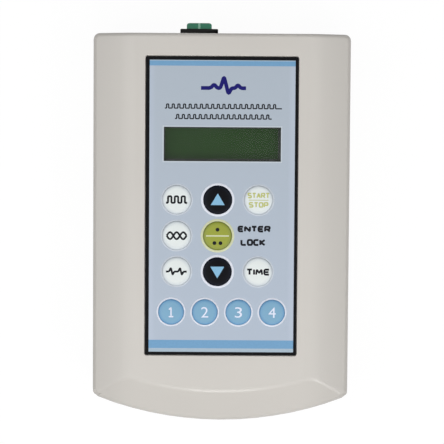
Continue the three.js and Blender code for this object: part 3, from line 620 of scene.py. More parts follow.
def merged_copy(node):
    """A node's shape as a bmesh, its corners merged and its flat regions joined"""
    bm = bmesh.new()
    bm.from_mesh(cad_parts[node].data)
    bmesh.ops.remove_doubles(bm, verts=bm.verts, dist=0.003 * MM)
    bmesh.ops.dissolve_limit(
        bm,
        angle_limit=math.radians(0.5),
        verts=bm.verts,
        edges=bm.edges,
        delimit={"NORMAL"},
    )
    return bm


def outward_edges(bm, least, where=None, most=120):
    """Edges where two faces meet at an outward corner within a range of degrees"""
    found = []
    for edge in bm.edges:
        if not edge.is_manifold or not edge.is_convex:
            continue
        if not least <= math.degrees(edge.calc_face_angle(0)) <= most:
            continue
        middle = (edge.verts[0].co + edge.verts[1].co) / 2
        if where is None or where(middle):
            found.append(edge)
    return found


def moulding(bm, node, name, surfaces, body="case"):
    """Finishes the rounded copy of a node, with its flats evenly shaded"""
    return piece(bm, name, body, surfaces, [node], 35, True)


def slide(bm, shift):
    bmesh.ops.translate(bm, verts=bm.verts, vec=shift)


def scaled(points):
    """Flat points from millimetres to metres"""
    return [(x * MM, y * MM) for x, y in points]


def round_off(bm, edges, width, segments=3, clamp=True):
    if edges:
        bmesh.ops.bevel(
            bm,
            geom=edges,
            offset=width,
            offset_type="OFFSET",
            affect="EDGES",
            segments=segments,
            profile=0.5,
            material=-1,
            clamp_overlap=clamp,
        )


def cut(bm, place, normal):
    """Cuts every face that a plane crosses"""
    every = bm.verts[:] + bm.edges[:] + bm.faces[:]
    bmesh.ops.bisect_plane(bm, geom=every, plane_co=place, plane_no=normal)


def eased_copy(node, where, width, steps=3, least=50):
    """A copy of a node with its outward edges rounded where a test of their middles holds"""
    bm = merged_copy(node)
    round_off(bm, outward_edges(bm, least, where), width, steps)
    return bm


def raise_by(bm, rise):
    """Thickens flat faces upwards"""
    raised = bmesh.ops.extrude_face_region(bm, geom=bm.faces[:])["geom"]
    lifted = [item for item in raised if isinstance(item, bmesh.types.BMVert)]
    bmesh.ops.translate(bm, verts=lifted, vec=(0, 0, rise))
    bmesh.ops.recalc_face_normals(bm, faces=bm.faces)


def boxed(bm, low, high, lap, height):
    """Adds four edges round a box in plan, a distance in from its sides"""
    left, right, front, rear = low.x + lap, high.x - lap, low.y + lap, high.y - lap
    corners = (left, front), (right, front), (right, rear), (left, rear)
    verts = [bm.verts.new((x, y, height)) for x, y in corners]
    return [bm.edges.new(pair) for pair in zip(verts, verts[1:] + verts[:1])]


def turned(profile, centre, steps=64, closed=False):
    """A solid turned about an upright line from a profile of radius and height"""
    bm = bmesh.new()
    verts = [bm.verts.new((radius, 0, height)) for radius, height in profile]
    ends = verts[1:] + verts[:1] if closed else verts[1:]
    edges = [bm.edges.new(pair) for pair in zip(verts, ends)]
    bmesh.ops.spin(
        bm,
        geom=verts + edges,
        cent=(0, 0, 0),
        axis=(0, 0, 1),
        angle=math.tau,
        steps=steps,
        use_merge=True,
    )
    bmesh.ops.remove_doubles(bm, verts=bm.verts, dist=0.001 * MM)
    bmesh.ops.recalc_face_normals(bm, faces=bm.faces)
    slide(bm, centre)
    return bm


def quarter(radius, height, edge, steps, fall=None):
    """A rounded outer corner, from the side of a turned profile to its top"""
    fall = edge if fall is None else fall
    turns = [math.pi / 2 * step / steps for step in range(steps + 1)]
    return [
        (radius - edge + edge * math.cos(turn), height - fall + fall * math.sin(turn))
        for turn in turns
    ]


def slab(low, high, corner=0):
    """A box between two corners, its upright edges rounded"""
    bm = bmesh.new()
    bmesh.ops.create_cube(bm, size=1)
    low, high = Vector(low), Vector(high)
    bmesh.ops.scale(bm, verts=bm.verts, vec=high - low)
    slide(bm, (low + high) / 2)
    if corner:
        upright = [
            edge
            for edge in bm.edges
            if abs(edge.verts[0].co.z - edge.verts[1].co.z) > (high.z - low.z) / 2
        ]
        round_off(bm, upright, corner)
    return bm


def joined(parts):
    """Several bmeshes gathered into one"""
    whole = bmesh.new()
    for bm in parts:
        mesh = bpy.data.meshes.new("part")
        bm.to_mesh(mesh)
        bm.free()
        whole.from_mesh(mesh)
        bpy.data.meshes.remove(mesh)
    return whole


def mesh_of(curve):
    """The mesh of a text or curve, as a bmesh"""
    maker = bpy.data.objects.new("maker", curve)
    bpy.context.scene.collection.objects.link(maker)
    bpy.context.view_layer.update()
    mesh = bpy.data.meshes.new_from_object(
        maker.evaluated_get(bpy.context.evaluated_depsgraph_get())
    )
    bm = bmesh.new()
    bm.from_mesh(mesh)
    bpy.data.objects.remove(maker)
    bpy.data.meshes.remove(mesh)
    bmesh.ops.remove_doubles(bm, verts=bm.verts, dist=0.001 * MM)
    return bm


def flattened(bm, thickness):
    """Squeezes a bmesh to a thickness and stands it on z = 0"""
    heights = [vert.co.z for vert in bm.verts]
    low, high = min(heights), max(heights)
    slide(bm, (0, 0, -low))
    bmesh.ops.scale(bm, verts=bm.verts, vec=(1, 1, thickness / (high - low)))
    return bm


def words(text, centre, size, thickness):
    """Raised words that fill a size about a centre"""
    curve = bpy.data.curves.new("words", "FONT")
    curve.body = text
    curve.extrude = 0.1
    curve.resolution_u = 5
    bm = flattened(mesh_of(curve), thickness)
    low, high = (
        Vector((*(pick(vert.co[axis] for vert in bm.verts) for axis in range(2)), 0))
        for pick in (min, max)
    )
    slide(bm, -(low + high) / 2)
    extent = high - low
    bmesh.ops.scale(bm, verts=bm.verts, vec=(size[0] / extent.x, size[1] / extent.y, 1))
    slide(bm, centre)
    return bm


def eased(points, reach):
    """Flat points with each inner corner turned into a short bend"""
    corners = [Vector(point) for point in points]
    bends = [corners[0]]
    for before, corner, after in zip(corners, corners[1:], corners[2:]):
        start = corner + (before - corner) * min(0.45, reach / (before - corner).length)
        end = corner + (after - corner) * min(0.45, reach / (after - corner).length)
        for step in range(5):
            share = step / 4
            first, second = start.lerp(corner, share), corner.lerp(end, share)
            bends.append(first.lerp(second, share))
    return bends + [corners[-1]]


def framed(low, high, outer, inner, foot, rise):
    """A flat frame between two distances in from the sides of a box"""
    bm = bmesh.new()
    for lap in (outer, inner):
        boxed(bm, low, high, lap, foot)
    bmesh.ops.bridge_loops(bm, edges=bm.edges[:])
    raise_by(bm, rise)
    return bm


def drawn(points, width, centre, thickness, closed=False):
    """A raised line of even width through flat points about a centre"""
    curve = bpy.data.curves.new("drawn", "CURVE")
    curve.dimensions = "3D"
    curve.bevel_depth = width / 2
    curve.bevel_resolution = 2
    curve.use_fill_caps = True
    spline = curve.splines.new("POLY")
    points = eased(points, width * 0.6)
    spline.points.add(len(points) - 1)
    for point, (x, y) in zip(spline.points, points):
        point.co = (x, y, 0, 1)
    spline.use_cyclic_u = closed
    bm = flattened(mesh_of(curve), thickness)
    slide(bm, centre)
    return bm


def lettered(text, centre, size, width, thickness):
    """Rounded letters of even stroke that fill a size about a centre"""
    advance = sum(LETTER_WIDTHS.get(letter, 1) for letter in text) + GAP * (len(text) - 1)
    scale = (size[0] - width) / advance
    height = size[1] - width
    strokes = []
    left = Vector(centre) - Vector((advance * scale / 2, height / 2, 0))
    for letter in text:
        share = LETTER_WIDTHS.get(letter, 1)
        for line in LETTERS[letter]:
            points = [(x * share * scale, y * height) for x, y in line]
            strokes.append(drawn(points, width, left, thickness))
        left = left + Vector(((share + GAP) * scale, 0, 0))
    return joined(strokes)


def outline(points, centre, thickness):
    """A raised flat shape with straight sides"""
    bm = bmesh.new()
    bm.faces.new([bm.verts.new((x, y, 0)) for x, y in points])
    raise_by(bm, thickness)
    slide(bm, centre)
    return bm


def dot(radius, centre, thickness):
    return turned([(0, 0), (radius, 0), (radius, thickness), (0, thickness)], centre, 24)


def bar(centre, size, thickness):
    """A flat bar about a centre, its size in millimetres"""
    x, y = (extent * MM / 2 for extent in size)
    bm = slab((-x, -y, 0), (x, y, thickness))
    slide(bm, centre)
    return bm


def numeral(channel, centre, widths, height, stroke, thickness):
    """A channel's number, the 1 drawn in a stroke and narrower than the others"""
    if channel == 1:
        return lettered("1", centre, (widths[0] * MM, height), stroke, thickness)
    return words(str(channel), centre, (widths[1] * MM, height), thickness)


def square_pulses(start, end, lefts, width, low, high):
    """A line with square pulses, in millimetres"""
    points = [(start, low)]
    for left in lefts:
        points += [(left, low), (left, high), (left + width, high), (left + width, low)]
    return scaled([*points, (end, low)])


def slot_of(node):
    """The slot of a key"""
    if "channel" in node:
        return "key_blue"
    if node in ("key_up", "key_down"):
        return "key_black"
    return "key_olive" if node == "key_enter" else "key_white"


def shell_surface(context):
    return surface("case_shell_plastic", shell_plastic, context.scene.tens_case.shell, **SHEEN)


# ---------------------------------------------------------------- pieces


class TENSUNIT_OT_case(bpy.types.Operator):
    """Models the upper and lower shells with a soft rim, soft creases and rounded seam edges"""

    bl_idname = "tens_unit.case"
    bl_label = "Case shells"

    def execute(self, context):
        case = context.scene.tens_case
        plastic = shell_surface(context)
        low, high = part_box("top_cover")
        bm = merged_copy("top_cover")
        rim = outward_edges(bm, 45, lambda p: self.on_rim(case, p, low, high))
        short = [edge for edge in rim if edge.calc_length() < case.short_edge]
        bmesh.ops.collapse(bm, edges=short, uvs=False)
        creases = outward_edges(bm, 12, lambda p: p.z > high.z - case.brow and p.y < 0, 40)
        round_off(bm, creases, case.crease, 5, False)
        rim = outward_edges(bm, 45, lambda p: self.on_rim(case, p, low, high))
        round_off(bm, rim, case.rim, 6, False)
        bmesh.ops.remove_doubles(bm, verts=bm.verts, dist=0.005 * MM)
        recess = outward_edges(bm, 60, lambda p: self.on_recess(case, p, high))
        round_off(bm, recess, case.small_edge)
        seam = low.z + case.seam_reach
        foot = outward_edges(bm, 60, lambda p: p.z < seam and self.outside(case, p, low, high))
        round_off(bm, foot, case.seam)
        moulding(bm, "top_cover", "upper_shell", [plastic])

        low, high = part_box("bottom_cover")
        brim = high.z - case.brim
        base = lambda p: p.z < brim and self.outside(case, p, low, high)
        bm = eased_copy("bottom_cover", base, case.seam, least=30)
        moulding(bm, "bottom_cover", "lower_shell", [plastic])
        return {"FINISHED"}

    @staticmethod
    def outside(case, point, low, high):
        """Whether a point is on the outer wall, seen in plan"""
        across, along = high.x - abs(point.x), high.y - point.y
        out = math.hypot(point.x, point.y - low.y - case.bow)
        return (
            min(across, along, case.bow - out) < case.wall_reach
            or max(across, along) < case.corner_reach
        )

    @staticmethod
    def on_recess(case, point, high):
        """Whether a point is on the edge round the control panel"""
        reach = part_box("graphic_overlay")[1].x + case.recess_reach
        return point.z > high.z - SKIN / 2 and abs(point.x) < reach

    @classmethod
    def on_rim(cls, case, point, low, high):
        """Whether a point is on the outer wall, at or above the foot of the brow"""
        return point.z > high.z - case.brow and cls.outside(case, point, low, high)


class TENSUNIT_OT_rear_panel(bpy.types.Operator):
    """Models the rear connector panel with rounded cut-outs and numbered sockets"""

    bl_idname = "tens_unit.rear_panel"
    bl_label = "Rear panel"

    def execute(self, context):
        case = context.scene.tens_case
        panel = context.scene.tens_panel
        plastic = surface("rear_panel_plastic", moulded, case.plate, 0.5)
        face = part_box("rear_panel")[1].y
        bm = eased_copy("rear_panel", lambda p: p.y > face - SKIN, case.small_edge, 2, 60)
        moulding(bm, "rear_panel", "connector_panel", [plastic])

        marks = []
        for channel in CHANNELS:
            jack = centre_of(f"channel_jack_{channel}")
            size = (SOCKET_NUMBER_WIDTHS, case.number_height, case.number_stroke)
            mark = numeral(channel, (0, 0, 0), *size, panel.ink_height)
            turn = Matrix.Rotation(math.pi, 4, "Z") @ Matrix.Rotation(math.pi / 2, 4, "X")
            bmesh.ops.transform(mark, matrix=turn, verts=mark.verts)
            slide(mark, (jack.x, face, jack.z + case.number_rise))
            marks.append(mark)
        ink = surface("dark_print", print_ink, panel.dark_ink)
        piece(joined(marks), "socket_numbers", "case", [ink])
        return {"FINISHED"}


class TENSUNIT_OT_battery_door(bpy.types.Operator):
    """Models the sliding battery door with softened edges"""

    bl_idname = "tens_unit.battery_door"
    bl_label = "Battery door"

    def execute(self, context):
        case = context.scene.tens_case
        plastic = shell_surface(context)
        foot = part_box("battery_door")[0].z + SKIN
        bm = eased_copy("battery_door", lambda p: p.z < foot, case.small_edge, 2, 60)
        moulding(bm, "battery_door", "sliding_door", [plastic], "door")
        return {"FINISHED"}


class TENSUNIT_OT_overlay(bpy.types.Operator):
    """Models the printed overlay with its border, bands, window and key holes"""

    bl_idname = "tens_unit.overlay"
    bl_label = "Panel overlay"

    def execute(self, context):
        panel = context.scene.tens_panel
        keys = context.scene.tens_keys
        low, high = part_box("graphic_overlay")
        middle = (low + high) / 2
        half = (high - low) / 2

        bm = bmesh.new()
        sheet_edges = self.rectangle(bm, (middle.x, middle.y, high.z), half, panel.corner)
        bmesh.ops.delete(bm, geom=bm.faces[:], context="FACES_ONLY")
        shift = Vector((panel.print_shift, -panel.print_shift / 2))
        print_half = (half.x - panel.border_width, half.y - panel.border_width)
        place = (middle.x + shift.x, middle.y + shift.y, high.z)
        print_edges = self.rectangle(bm, place, print_half)
        border = bmesh.ops.triangle_fill(
            bm, use_beauty=True, use_dissolve=False, edges=sheet_edges + print_edges
        )["geom"]
        for face in bm.faces:
            face.material_index = 1 if face in border else 0

        bands = (
            (high.y - panel.rear_band_end, high.y - panel.rear_band_start),
            (low.y + panel.front_band_start, low.y + panel.front_band_end),
        )
        for height in sum(bands, ()):
            pieces = [face for face in bm.faces if face.material_index == 0]
            around = {part for face in pieces for part in (*face.verts, *face.edges)}
            bmesh.ops.bisect_plane(
                bm,
                geom=[*pieces, *around],
                plane_co=(0, height, high.z),
                plane_no=(0, 1, 0),
            )
        field = None
        for face in bm.faces:
            if face.material_index == 1:
                continue
            place = face.calc_center_median().y
            if any(start < place < end for start, end in bands):
                face.material_index = 2
            elif abs(place - middle.y) > half.y - panel.front_band_start - panel.strip_reach:
                face.material_index = 3
            else:
                field = face

        rim = list(field.edges)
        for node in nodes_named("key_"):
            place = centre_of(node)
            reach = (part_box(node)[1].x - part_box(node)[0].x) / 2 - keys.flange + keys.hole
            ring = bmesh.ops.create_circle(
                bm,
                segments=48,
                radius=reach,
                matrix=Matrix.Translation((place.x, place.y, high.z)),
            )["verts"]
            rim += {edge for vert in ring for edge in vert.link_edges}
        rim += boxed(bm, *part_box("display_lens"), panel.lens_lap, high.z)
        bmesh.ops.delete(bm, geom=[field], context="FACES_ONLY")
        bmesh.ops.triangle_fill(bm, use_beauty=True, use_dissolve=False, edges=rim)
        bmesh.ops.recalc_face_normals(bm, faces=bm.faces)
        if sum(face.normal.z for face in bm.faces) < 0:
            bmesh.ops.reverse_faces(bm, faces=bm.faces)
        bmesh.ops.solidify(bm, geom=bm.faces, thickness=high.z - low.z)
        shades = (panel.field, panel.field_front, panel.margin)
        surfaces = [
            surface("overlay_field", film, *shades, middle.y, half.y, half.x),
            surface("overlay_border", glossy, panel.border, 0.5, **MATT_BLACK),
            surface("overlay_band", print_ink, panel.band, 0.35),
            surface("overlay_strip", print_ink, panel.strip, 0.35),
        ]
        piece(bm, "printed_overlay", "case", surfaces, ["graphic_overlay"])
        return {"FINISHED"}

    @staticmethod
    def rectangle(bm, centre, half, corner=0):
        """Adds a flat face with rounded corners and returns its edges"""
        verts = bmesh.ops.create_grid(bm, x_segments=1, y_segments=1, size=1)["verts"]
        bmesh.ops.scale(bm, verts=verts, vec=(half[0], half[1], 1))
        bmesh.ops.translate(bm, verts=verts, vec=centre)
        if corner:
            bmesh.ops.bevel(
                bm,
                geom=verts,
                offset=corner,
                affect="VERTICES",
                segments=4,
                profile=0.5,
                material=-1,
            )
            return bm.edges[:]
        return list(verts[0].link_faces[0].edges)


class TENSUNIT_OT_keys(bpy.types.Operator):
    """Models the twelve keys with softly crowned tops, and the raised rims round them"""

    bl_idname = "tens_unit.keys"
    bl_label = "Keys and rims"

    def execute(self, context):
        keys = context.scene.tens_keys
        gloss = {"white": 0.42, "black": 0.25, "olive": 0.38, "blue": 0.38}
        finishes = {
            f"key_{name}": surface(
                f"{name}_key_plastic",
                crowned,
                getattr(keys, name),
                getattr(keys, f"{name}_edge"),
                roughness,
                **(MATT_BLACK if name == "black" else {}),
            )
            for name, roughness in gloss.items()
        }
        rims = {
            "key_white": surface("plain_rim_film", print_ink, keys.rim_field, 0.4),
            "key_black": surface("white_rim_film", print_ink, keys.rim_white, 0.35),
            "key_olive": surface("olive_rim_film", print_ink, keys.rim_olive, 0.35),
            "key_blue": surface("white_rim_film", print_ink, keys.rim_white, 0.35),
        }
        panel_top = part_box("graphic_overlay")[1].z
        for node in nodes_named("key_"):
            slot = slot_of(node)
            low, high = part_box(node)
            place = centre_of(node)
            flange = (high.x - low.x) / 2
            radius = flange - keys.flange + keys.hole / 2
            white = slot == "key_white"
            rise = keys.plain_rim_height if white else keys.rim_height
            peak = high.z - context.scene.tens_panel.ink_height
            crown = peak - keys.crown_drop
            profile = [
                (0, low.z),
                (flange, low.z),
                (flange, low.z + keys.flange_height),
                (radius, low.z + keys.flange_height),
                *quarter(radius, crown, keys.edge, 7, crown - panel_top - rise + keys.hair_gap),
                *[((radius - keys.edge) * out, crown + keys.crown_drop * up) for out, up in CROWN],
                ((radius - keys.edge) * 0.5, peak),
                (0, peak),
            ]
            bm = turned(profile, (place.x, place.y, 0))
            # how near each point is to the rolled edge, which sets its painted shade
            share = bm.verts.layers.float.new("edge_share")
            for vert in bm.verts:
                out = math.hypot(vert.co.x - place.x, vert.co.y - place.y) / radius
                vert[share] = min(max((out - EVEN_SHARE) / (1 - EVEN_SHARE), 0), 1)
            piece(bm, node.replace("key_", "cap_"), node, [finishes[slot]], [node])

            width = keys.channel_rim if slot == "key_blue" else keys.wide_rim
            width = keys.plain_rim if white else width
            inner = radius + keys.hair_gap
            root = panel_top - keys.rim_root
            top = panel_top + rise
            # steep inside, flat on top and sloping outside
            profile = [
                (inner, root),
                (inner, top - rise * 0.3),
                (inner + 0.12 * MM, top),
                (inner + width * 0.4, top),
                (inner + width * 0.75, panel_top + rise * 0.6),
                (inner + width, panel_top + 0.02 * MM),
                (inner + width, root),
            ]
            ring = turned(profile, (place.x, place.y, 0), closed=True)
            piece(ring, node.replace("key_", "rim_"), "case", [rims[slot]])
        return {"FINISHED"}


class TENSUNIT_OT_legends(bpy.types.Operator):
    """Prints the arrows, numerals, pulse shapes and plain words of the keypad"""

    bl_idname = "tens_unit.legends"
    bl_label = "Legends"

    def execute(self, context):
        keys = context.scene.tens_keys
        panel = context.scene.tens_panel
        thick = panel.ink_height
        shades = {
            "dark": panel.dark_ink,
            "navy": panel.navy_ink,
            "arrow": keys.arrow,
            "numeral": keys.numeral,
            "olive": keys.olive_ink,
            "pale_line": keys.rim_olive,
        }
        inks = {name: surface(f"{name}_print", print_ink, shade) for name, shade in shades.items()}
        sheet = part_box("graphic_overlay")[1]

        def top(node):
            place = centre_of(node)
            return Vector((place.x, place.y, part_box(node)[1].z - thick))

        def printed(parts, name, ink, node=None):
            """Marks on a key, or on the overlay where no key is given"""
            piece(joined(parts), name, node or "case", [inks[ink]])

        for name, marks in zip(MODE_KEYS, (self.burst(), self.beat(), self.spikes())):
            node = f"key_{name}"
            lines = (drawn(line, keys.stroke, top(node), thick) for line in marks)
            printed(lines, f"legend_{name}", "dark", node)

        for name, sign in (("up", 1), ("down", -1)):
            node = f"key_{name}"
            half, reach, shift = ARROW
            arrow = scaled([(-half, -reach * sign), (half, -reach * sign), (0, reach * sign)])
            middle = top(node) + Vector((0, shift * MM * sign, 0))
            printed([outline(arrow, middle, thick)], f"legend_{name}", "arrow", node)

        enter = top("key_enter")
        dots = (dot(keys.dot_radius, enter + Vector((*spot, 0)), thick) for spot in scaled(DOTS))
        printed(dots, "legend_enter", "dark", "key_enter")
        printed([bar(enter, ENTER_BAR, thick)], "legend_enter_line", "pale_line", "key_enter")

        start = top("key_start_stop")
        marks = [self.word(text, start, keys.small_stroke, thick) for text in ("START", "STOP")]
        marks.append(bar(start, STOP_BAR, thick))
        printed(marks, "legend_start_stop", "olive", "key_start_stop")
        timer = self.word("TIME", top("key_timer"), keys.stroke, thick)
        printed([timer], "legend_timer", "dark", "key_timer")

        for channel in CHANNELS:
            node = f"key_channel_{channel}"
            size = (NUMERAL_WIDTHS, keys.numeral_height, keys.numeral_stroke)
            mark = numeral(channel, top(node), *size, thick)
            printed([mark], f"legend_channel_{channel}", "numeral", node)

        beside = Vector((centre_of("key_timer").x, enter.y, sheet.z))
        marks = [self.word(text, beside, keys.word_stroke, thick) for text in ("ENTER", "LOCK")]
        printed(marks, "legend_enter_words", "dark")

        def line_below(points, stroke, drop):
            """A line below the rear edge of the overlay, as far down as the drop"""
            return drawn(points, stroke, (HEADING_SHIFT * MM, sheet.y - drop * MM, sheet.z), thick)

        pulse = line_below(self.heading(), keys.heading_stroke, HEADING_DROP)
        printed([pulse], "heading_pulse", "navy")
        rows = (
            line_below(self.train(half), keys.train_stroke, drop)
            for drop, half in PULSE_ROWS
        )
        printed(rows, "heading_train", "dark")
        return {"FINISHED"}

    @staticmethod
    def word(text, point, stroke, thick):
        """A word in even strokes by a point"""
        shift, (width, height) = WORDS[text]
        place = point + Vector((*shift, 0)) * MM
        return lettered(text, place, (width * MM, height * MM), stroke, thick)

    @staticmethod
    def burst():
        """Square pulses on a base line"""
        return [square_pulses(-4.8, 4.6, (-3.9, -0.9, 2.1), 1.5, -1.4, 1.5)]

    @staticmethod
    def beat():
        """Two crossing waves"""
        turns = [step / 32 for step in range(33)]
        wave = [(-4.4 + 8.8 * turn, 1.55 * math.sin(turn * math.tau * 1.5)) for turn in turns]
        return [scaled(wave), scaled((x, -y) for x, y in wave)]

    @staticmethod
    def spikes():
        """Two-way pulses with sharp peaks"""
        across = (-4.7, -3.3, -2.5, -1.7, -1.0, 0.8, 1.6, 2.4, 3.1, 4.6)
        heights = (0, 0, 1.7, -1.5, 0, 0, 1.7, -1.5, 0, 0)
        return [scaled(zip(across, heights))]

    @staticmethod
    def heading():
        """A large pulse line"""
        across = (-10, -5.6, -4.2, -2.8, -1.4, 0.2, 2.2, 3.6, 5.2, 6.4, 7.6, 10)
        heights = (-1.2, -1.2, 0.6, -1.2, -1.2, 3.8, -3.8, -1.2, -1.2, 0.4, -1.2, -1.2)
        return scaled(zip(across, heights))

    @staticmethod
    def train(half):
        """A long run of short pulses"""
        count = math.ceil((2 * half - 2.4) / 2.5)
        lefts = [0.8 - half + 2.5 * step for step in range(count)]
        return square_pulses(-half, half, lefts, 0.9, -0.9, 0.9)


class TENSUNIT_OT_display(bpy.types.Operator):
    """Models the clear window, the black frame under it, the pale line round it and the display
    glass with its dark edge, partly painted shade
    """

    bl_idname = "tens_unit.display"
    bl_label = "Display"

    def execute(self, context):
        panel = context.scene.tens_panel
        low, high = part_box("display_lens")
        bm = slab(low, high, panel.window_corner)
        clear = surface("clear_window_sheet", clear_sheet)
        piece(bm, "window_sheet", "case", [clear], ["display_lens"])

        border = panel.lens_lap
        # the dark strip round the view is partly the display's own border and partly painted shade,
        # wider at the right and front
        near, far = border + panel.view_near, border + panel.view_far
        view_low = Vector((low.x + near, low.y + far, 0))
        view_high = Vector((high.x - far, high.y - near, 0))
        glass_low, glass_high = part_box("display_glass")
        plastic = surface("bezel_plastic", moulded, panel.bezel, 0.5, **MATT_BLACK)
        gap = panel.small_gap
        foot, rise = glass_high.z + gap / 2, low.z - glass_high.z - gap
        bm = framed(low, high, border - panel.bezel_reach, border - gap, foot, rise)
        piece(bm, "window_bezel", "case", [plastic])
        outer, sheet_top = border - panel.line_width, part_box("graphic_overlay")[1].z
        bm = framed(low, high, outer, border, sheet_top, panel.ink_height)
        ink = surface("window_line_print", print_ink, panel.line)
        piece(bm, "window_line", "case", [ink])
        bm = slab(glass_low, glass_high, panel.glass_corner)
        for axis, limits in enumerate(zip(view_low[:2], view_high[:2])):
            for limit in limits:
                normal = Vector((0, 0, 0))
                normal[axis] = 1
                cut(bm, normal * limit, normal)
        for face in bm.faces:
            place = face.calc_center_median()
            inside = all(view_low[axis] < place[axis] < view_high[axis] for axis in range(2))
            face.material_index = 0 if inside and face.normal.z > 0.5 else 1
        margin = panel.cell_margin
        cell = (view_high.x - view_low.x - 2 * margin) / CELLS
        screen = surface(
            "display_screen",
            liquid_crystal,
            panel.screen,
            panel.screen_edge,
            (view_low.x + margin, (view_low.y + view_high.y) / 2, cell),
            **SCREEN,
        )
        edge = surface("display_edge", glossy, panel.screen_edge, 0.4)
        piece(bm, "screen_glass", "case", [screen, edge], ["display_glass"])
        return {"FINISHED"}


class TENSUNIT_OT_power_switch(bpy.types.Operator):
    """Models the switch housing and its green rocker with its on and off marks"""

    bl_idname = "tens_unit.power_switch"
    bl_label = "Power switch"

    def execute(self, context):
        detail = context.scene.tens_detail
        shade = detail.switch_black
        black = surface("switch_housing_plastic", moulded, shade, 0.35, **HOUSING_BLACK)
        steel = surface("bright_steel", brushed, detail.steel)
        low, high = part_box("power_switch_body")
        bm = merged_copy("power_switch_body")
        for face in bm.faces:
            if face.calc_center_median().y < low.y + detail.tag_length:
                face.material_index = 1
        flange = outward_edges(bm, 50, lambda p: p.y > high.y - SKIN)
        round_off(bm, flange, detail.rocker_edge)
        moulding(bm, "power_switch_body", "switch_housing", [black, steel])

        self.rocker(detail)
        return {"FINISHED"}

    @staticmethod
    def rocker(detail):
        """The rocker, with a line inlaid over its upper end and a ring on its lower half"""
        green = surface("rocker_plastic", glossy, detail.rocker, 0.22, **THIN_COAT)
        pale = surface("rocker_mark_print", print_ink, detail.mark, 0.3)
        low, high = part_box("power_switch_rocker")
        middle = centre_of("power_switch_rocker").x
        tip = high.y - detail.rocker_tip
        bm = merged_copy("power_switch_rocker")
        outer = [
            edge
            for edge in outward_edges(bm, 50, lambda p: p.y > tip, 130)
            if edge.calc_length() > detail.long_edge
            and abs(edge.verts[0].co.x - edge.verts[1].co.x) < MM
        ]
        round_off(bm, outer, detail.rocker_corner, 4, False)
        round_off(bm, outward_edges(bm, 50, most=130), detail.rocker_edge)
        half = detail.mark_width / 2
        mark_low = high.z - detail.mark_length
        for place, normal in (
            ((middle - half, 0, 0), (1, 0, 0)),
            ((middle + half, 0, 0), (1, 0, 0)),
            ((0, 0, mark_low), (0, 0, 1)),
        ):
            cut(bm, place, normal)
        for face in bm.faces:
            place = face.calc_center_median()
            in_line = abs(place.x - middle) < half and place.z > mark_low
            outside = face.normal.y > 0.5 or (face.normal.z > 0.5 and place.y > tip)
            face.material_index = 1 if in_line and outside else 0
        stands_for = ["power_switch_rocker"]
        piece(bm, "switch_rocker", "rocker", [green, pale], stands_for, 35)

        turns = [math.tau * step / RING_POINTS for step in range(RING_POINTS)]
        radius = detail.ring_radius
        circle = [(radius * math.cos(turn), radius * math.sin(turn)) for turn in turns]
        ring = drawn(circle, detail.ring_line, (0, 0, 0), detail.ring_height, True)
        bmesh.ops.transform(ring, matrix=Matrix.Rotation(-math.pi / 2, 4, "X"), verts=ring.verts)
        lower_face = high.y - detail.ring_inset
        height = low.z + (high.z - low.z) * 0.25
        slide(ring, (middle, lower_face, height))
        piece(ring, "switch_ring", "rocker", [pale])


class TENSUNIT_OT_connectors(bpy.types.Operator):
    """Models the channel sockets and the power socket, with metal liners and pin"""

    bl_idname = "tens_unit.connectors"
    bl_label = "Sockets"

    def execute(self, context):
        detail = context.scene.tens_detail
        black = surface("socket_plastic", moulded, detail.jack, 0.35)
        brass = surface("plated_brass", brushed, detail.brass, 0.25)
        names = [f"channel_jack_{channel}" for channel in CHANNELS] + ["power_jack"]
        for node in names:
            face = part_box(node)[1].y
            bm = merged_copy(node)
            if node == "power_jack":
                self.gild_pin(bm, node, detail.pin_reach)
            mouth = outward_edges(bm, 50, lambda p: p.y > face - SKIN)
            round_off(bm, mouth, detail.socket_edge)
            moulding(bm, node, node.replace("jack", "socket"), [black, brass])
        return {"FINISHED"}

    @staticmethod
    def gild_pin(bm, node, reach):
        """Gives the pin in the middle of the socket the metal finish"""
        axis = centre_of(node)
        for face in bm.faces:
            if all(
                math.hypot(vert.co.x - axis.x, vert.co.z - axis.z) < reach
                for vert in face.verts
            ):
                face.material_index = 1


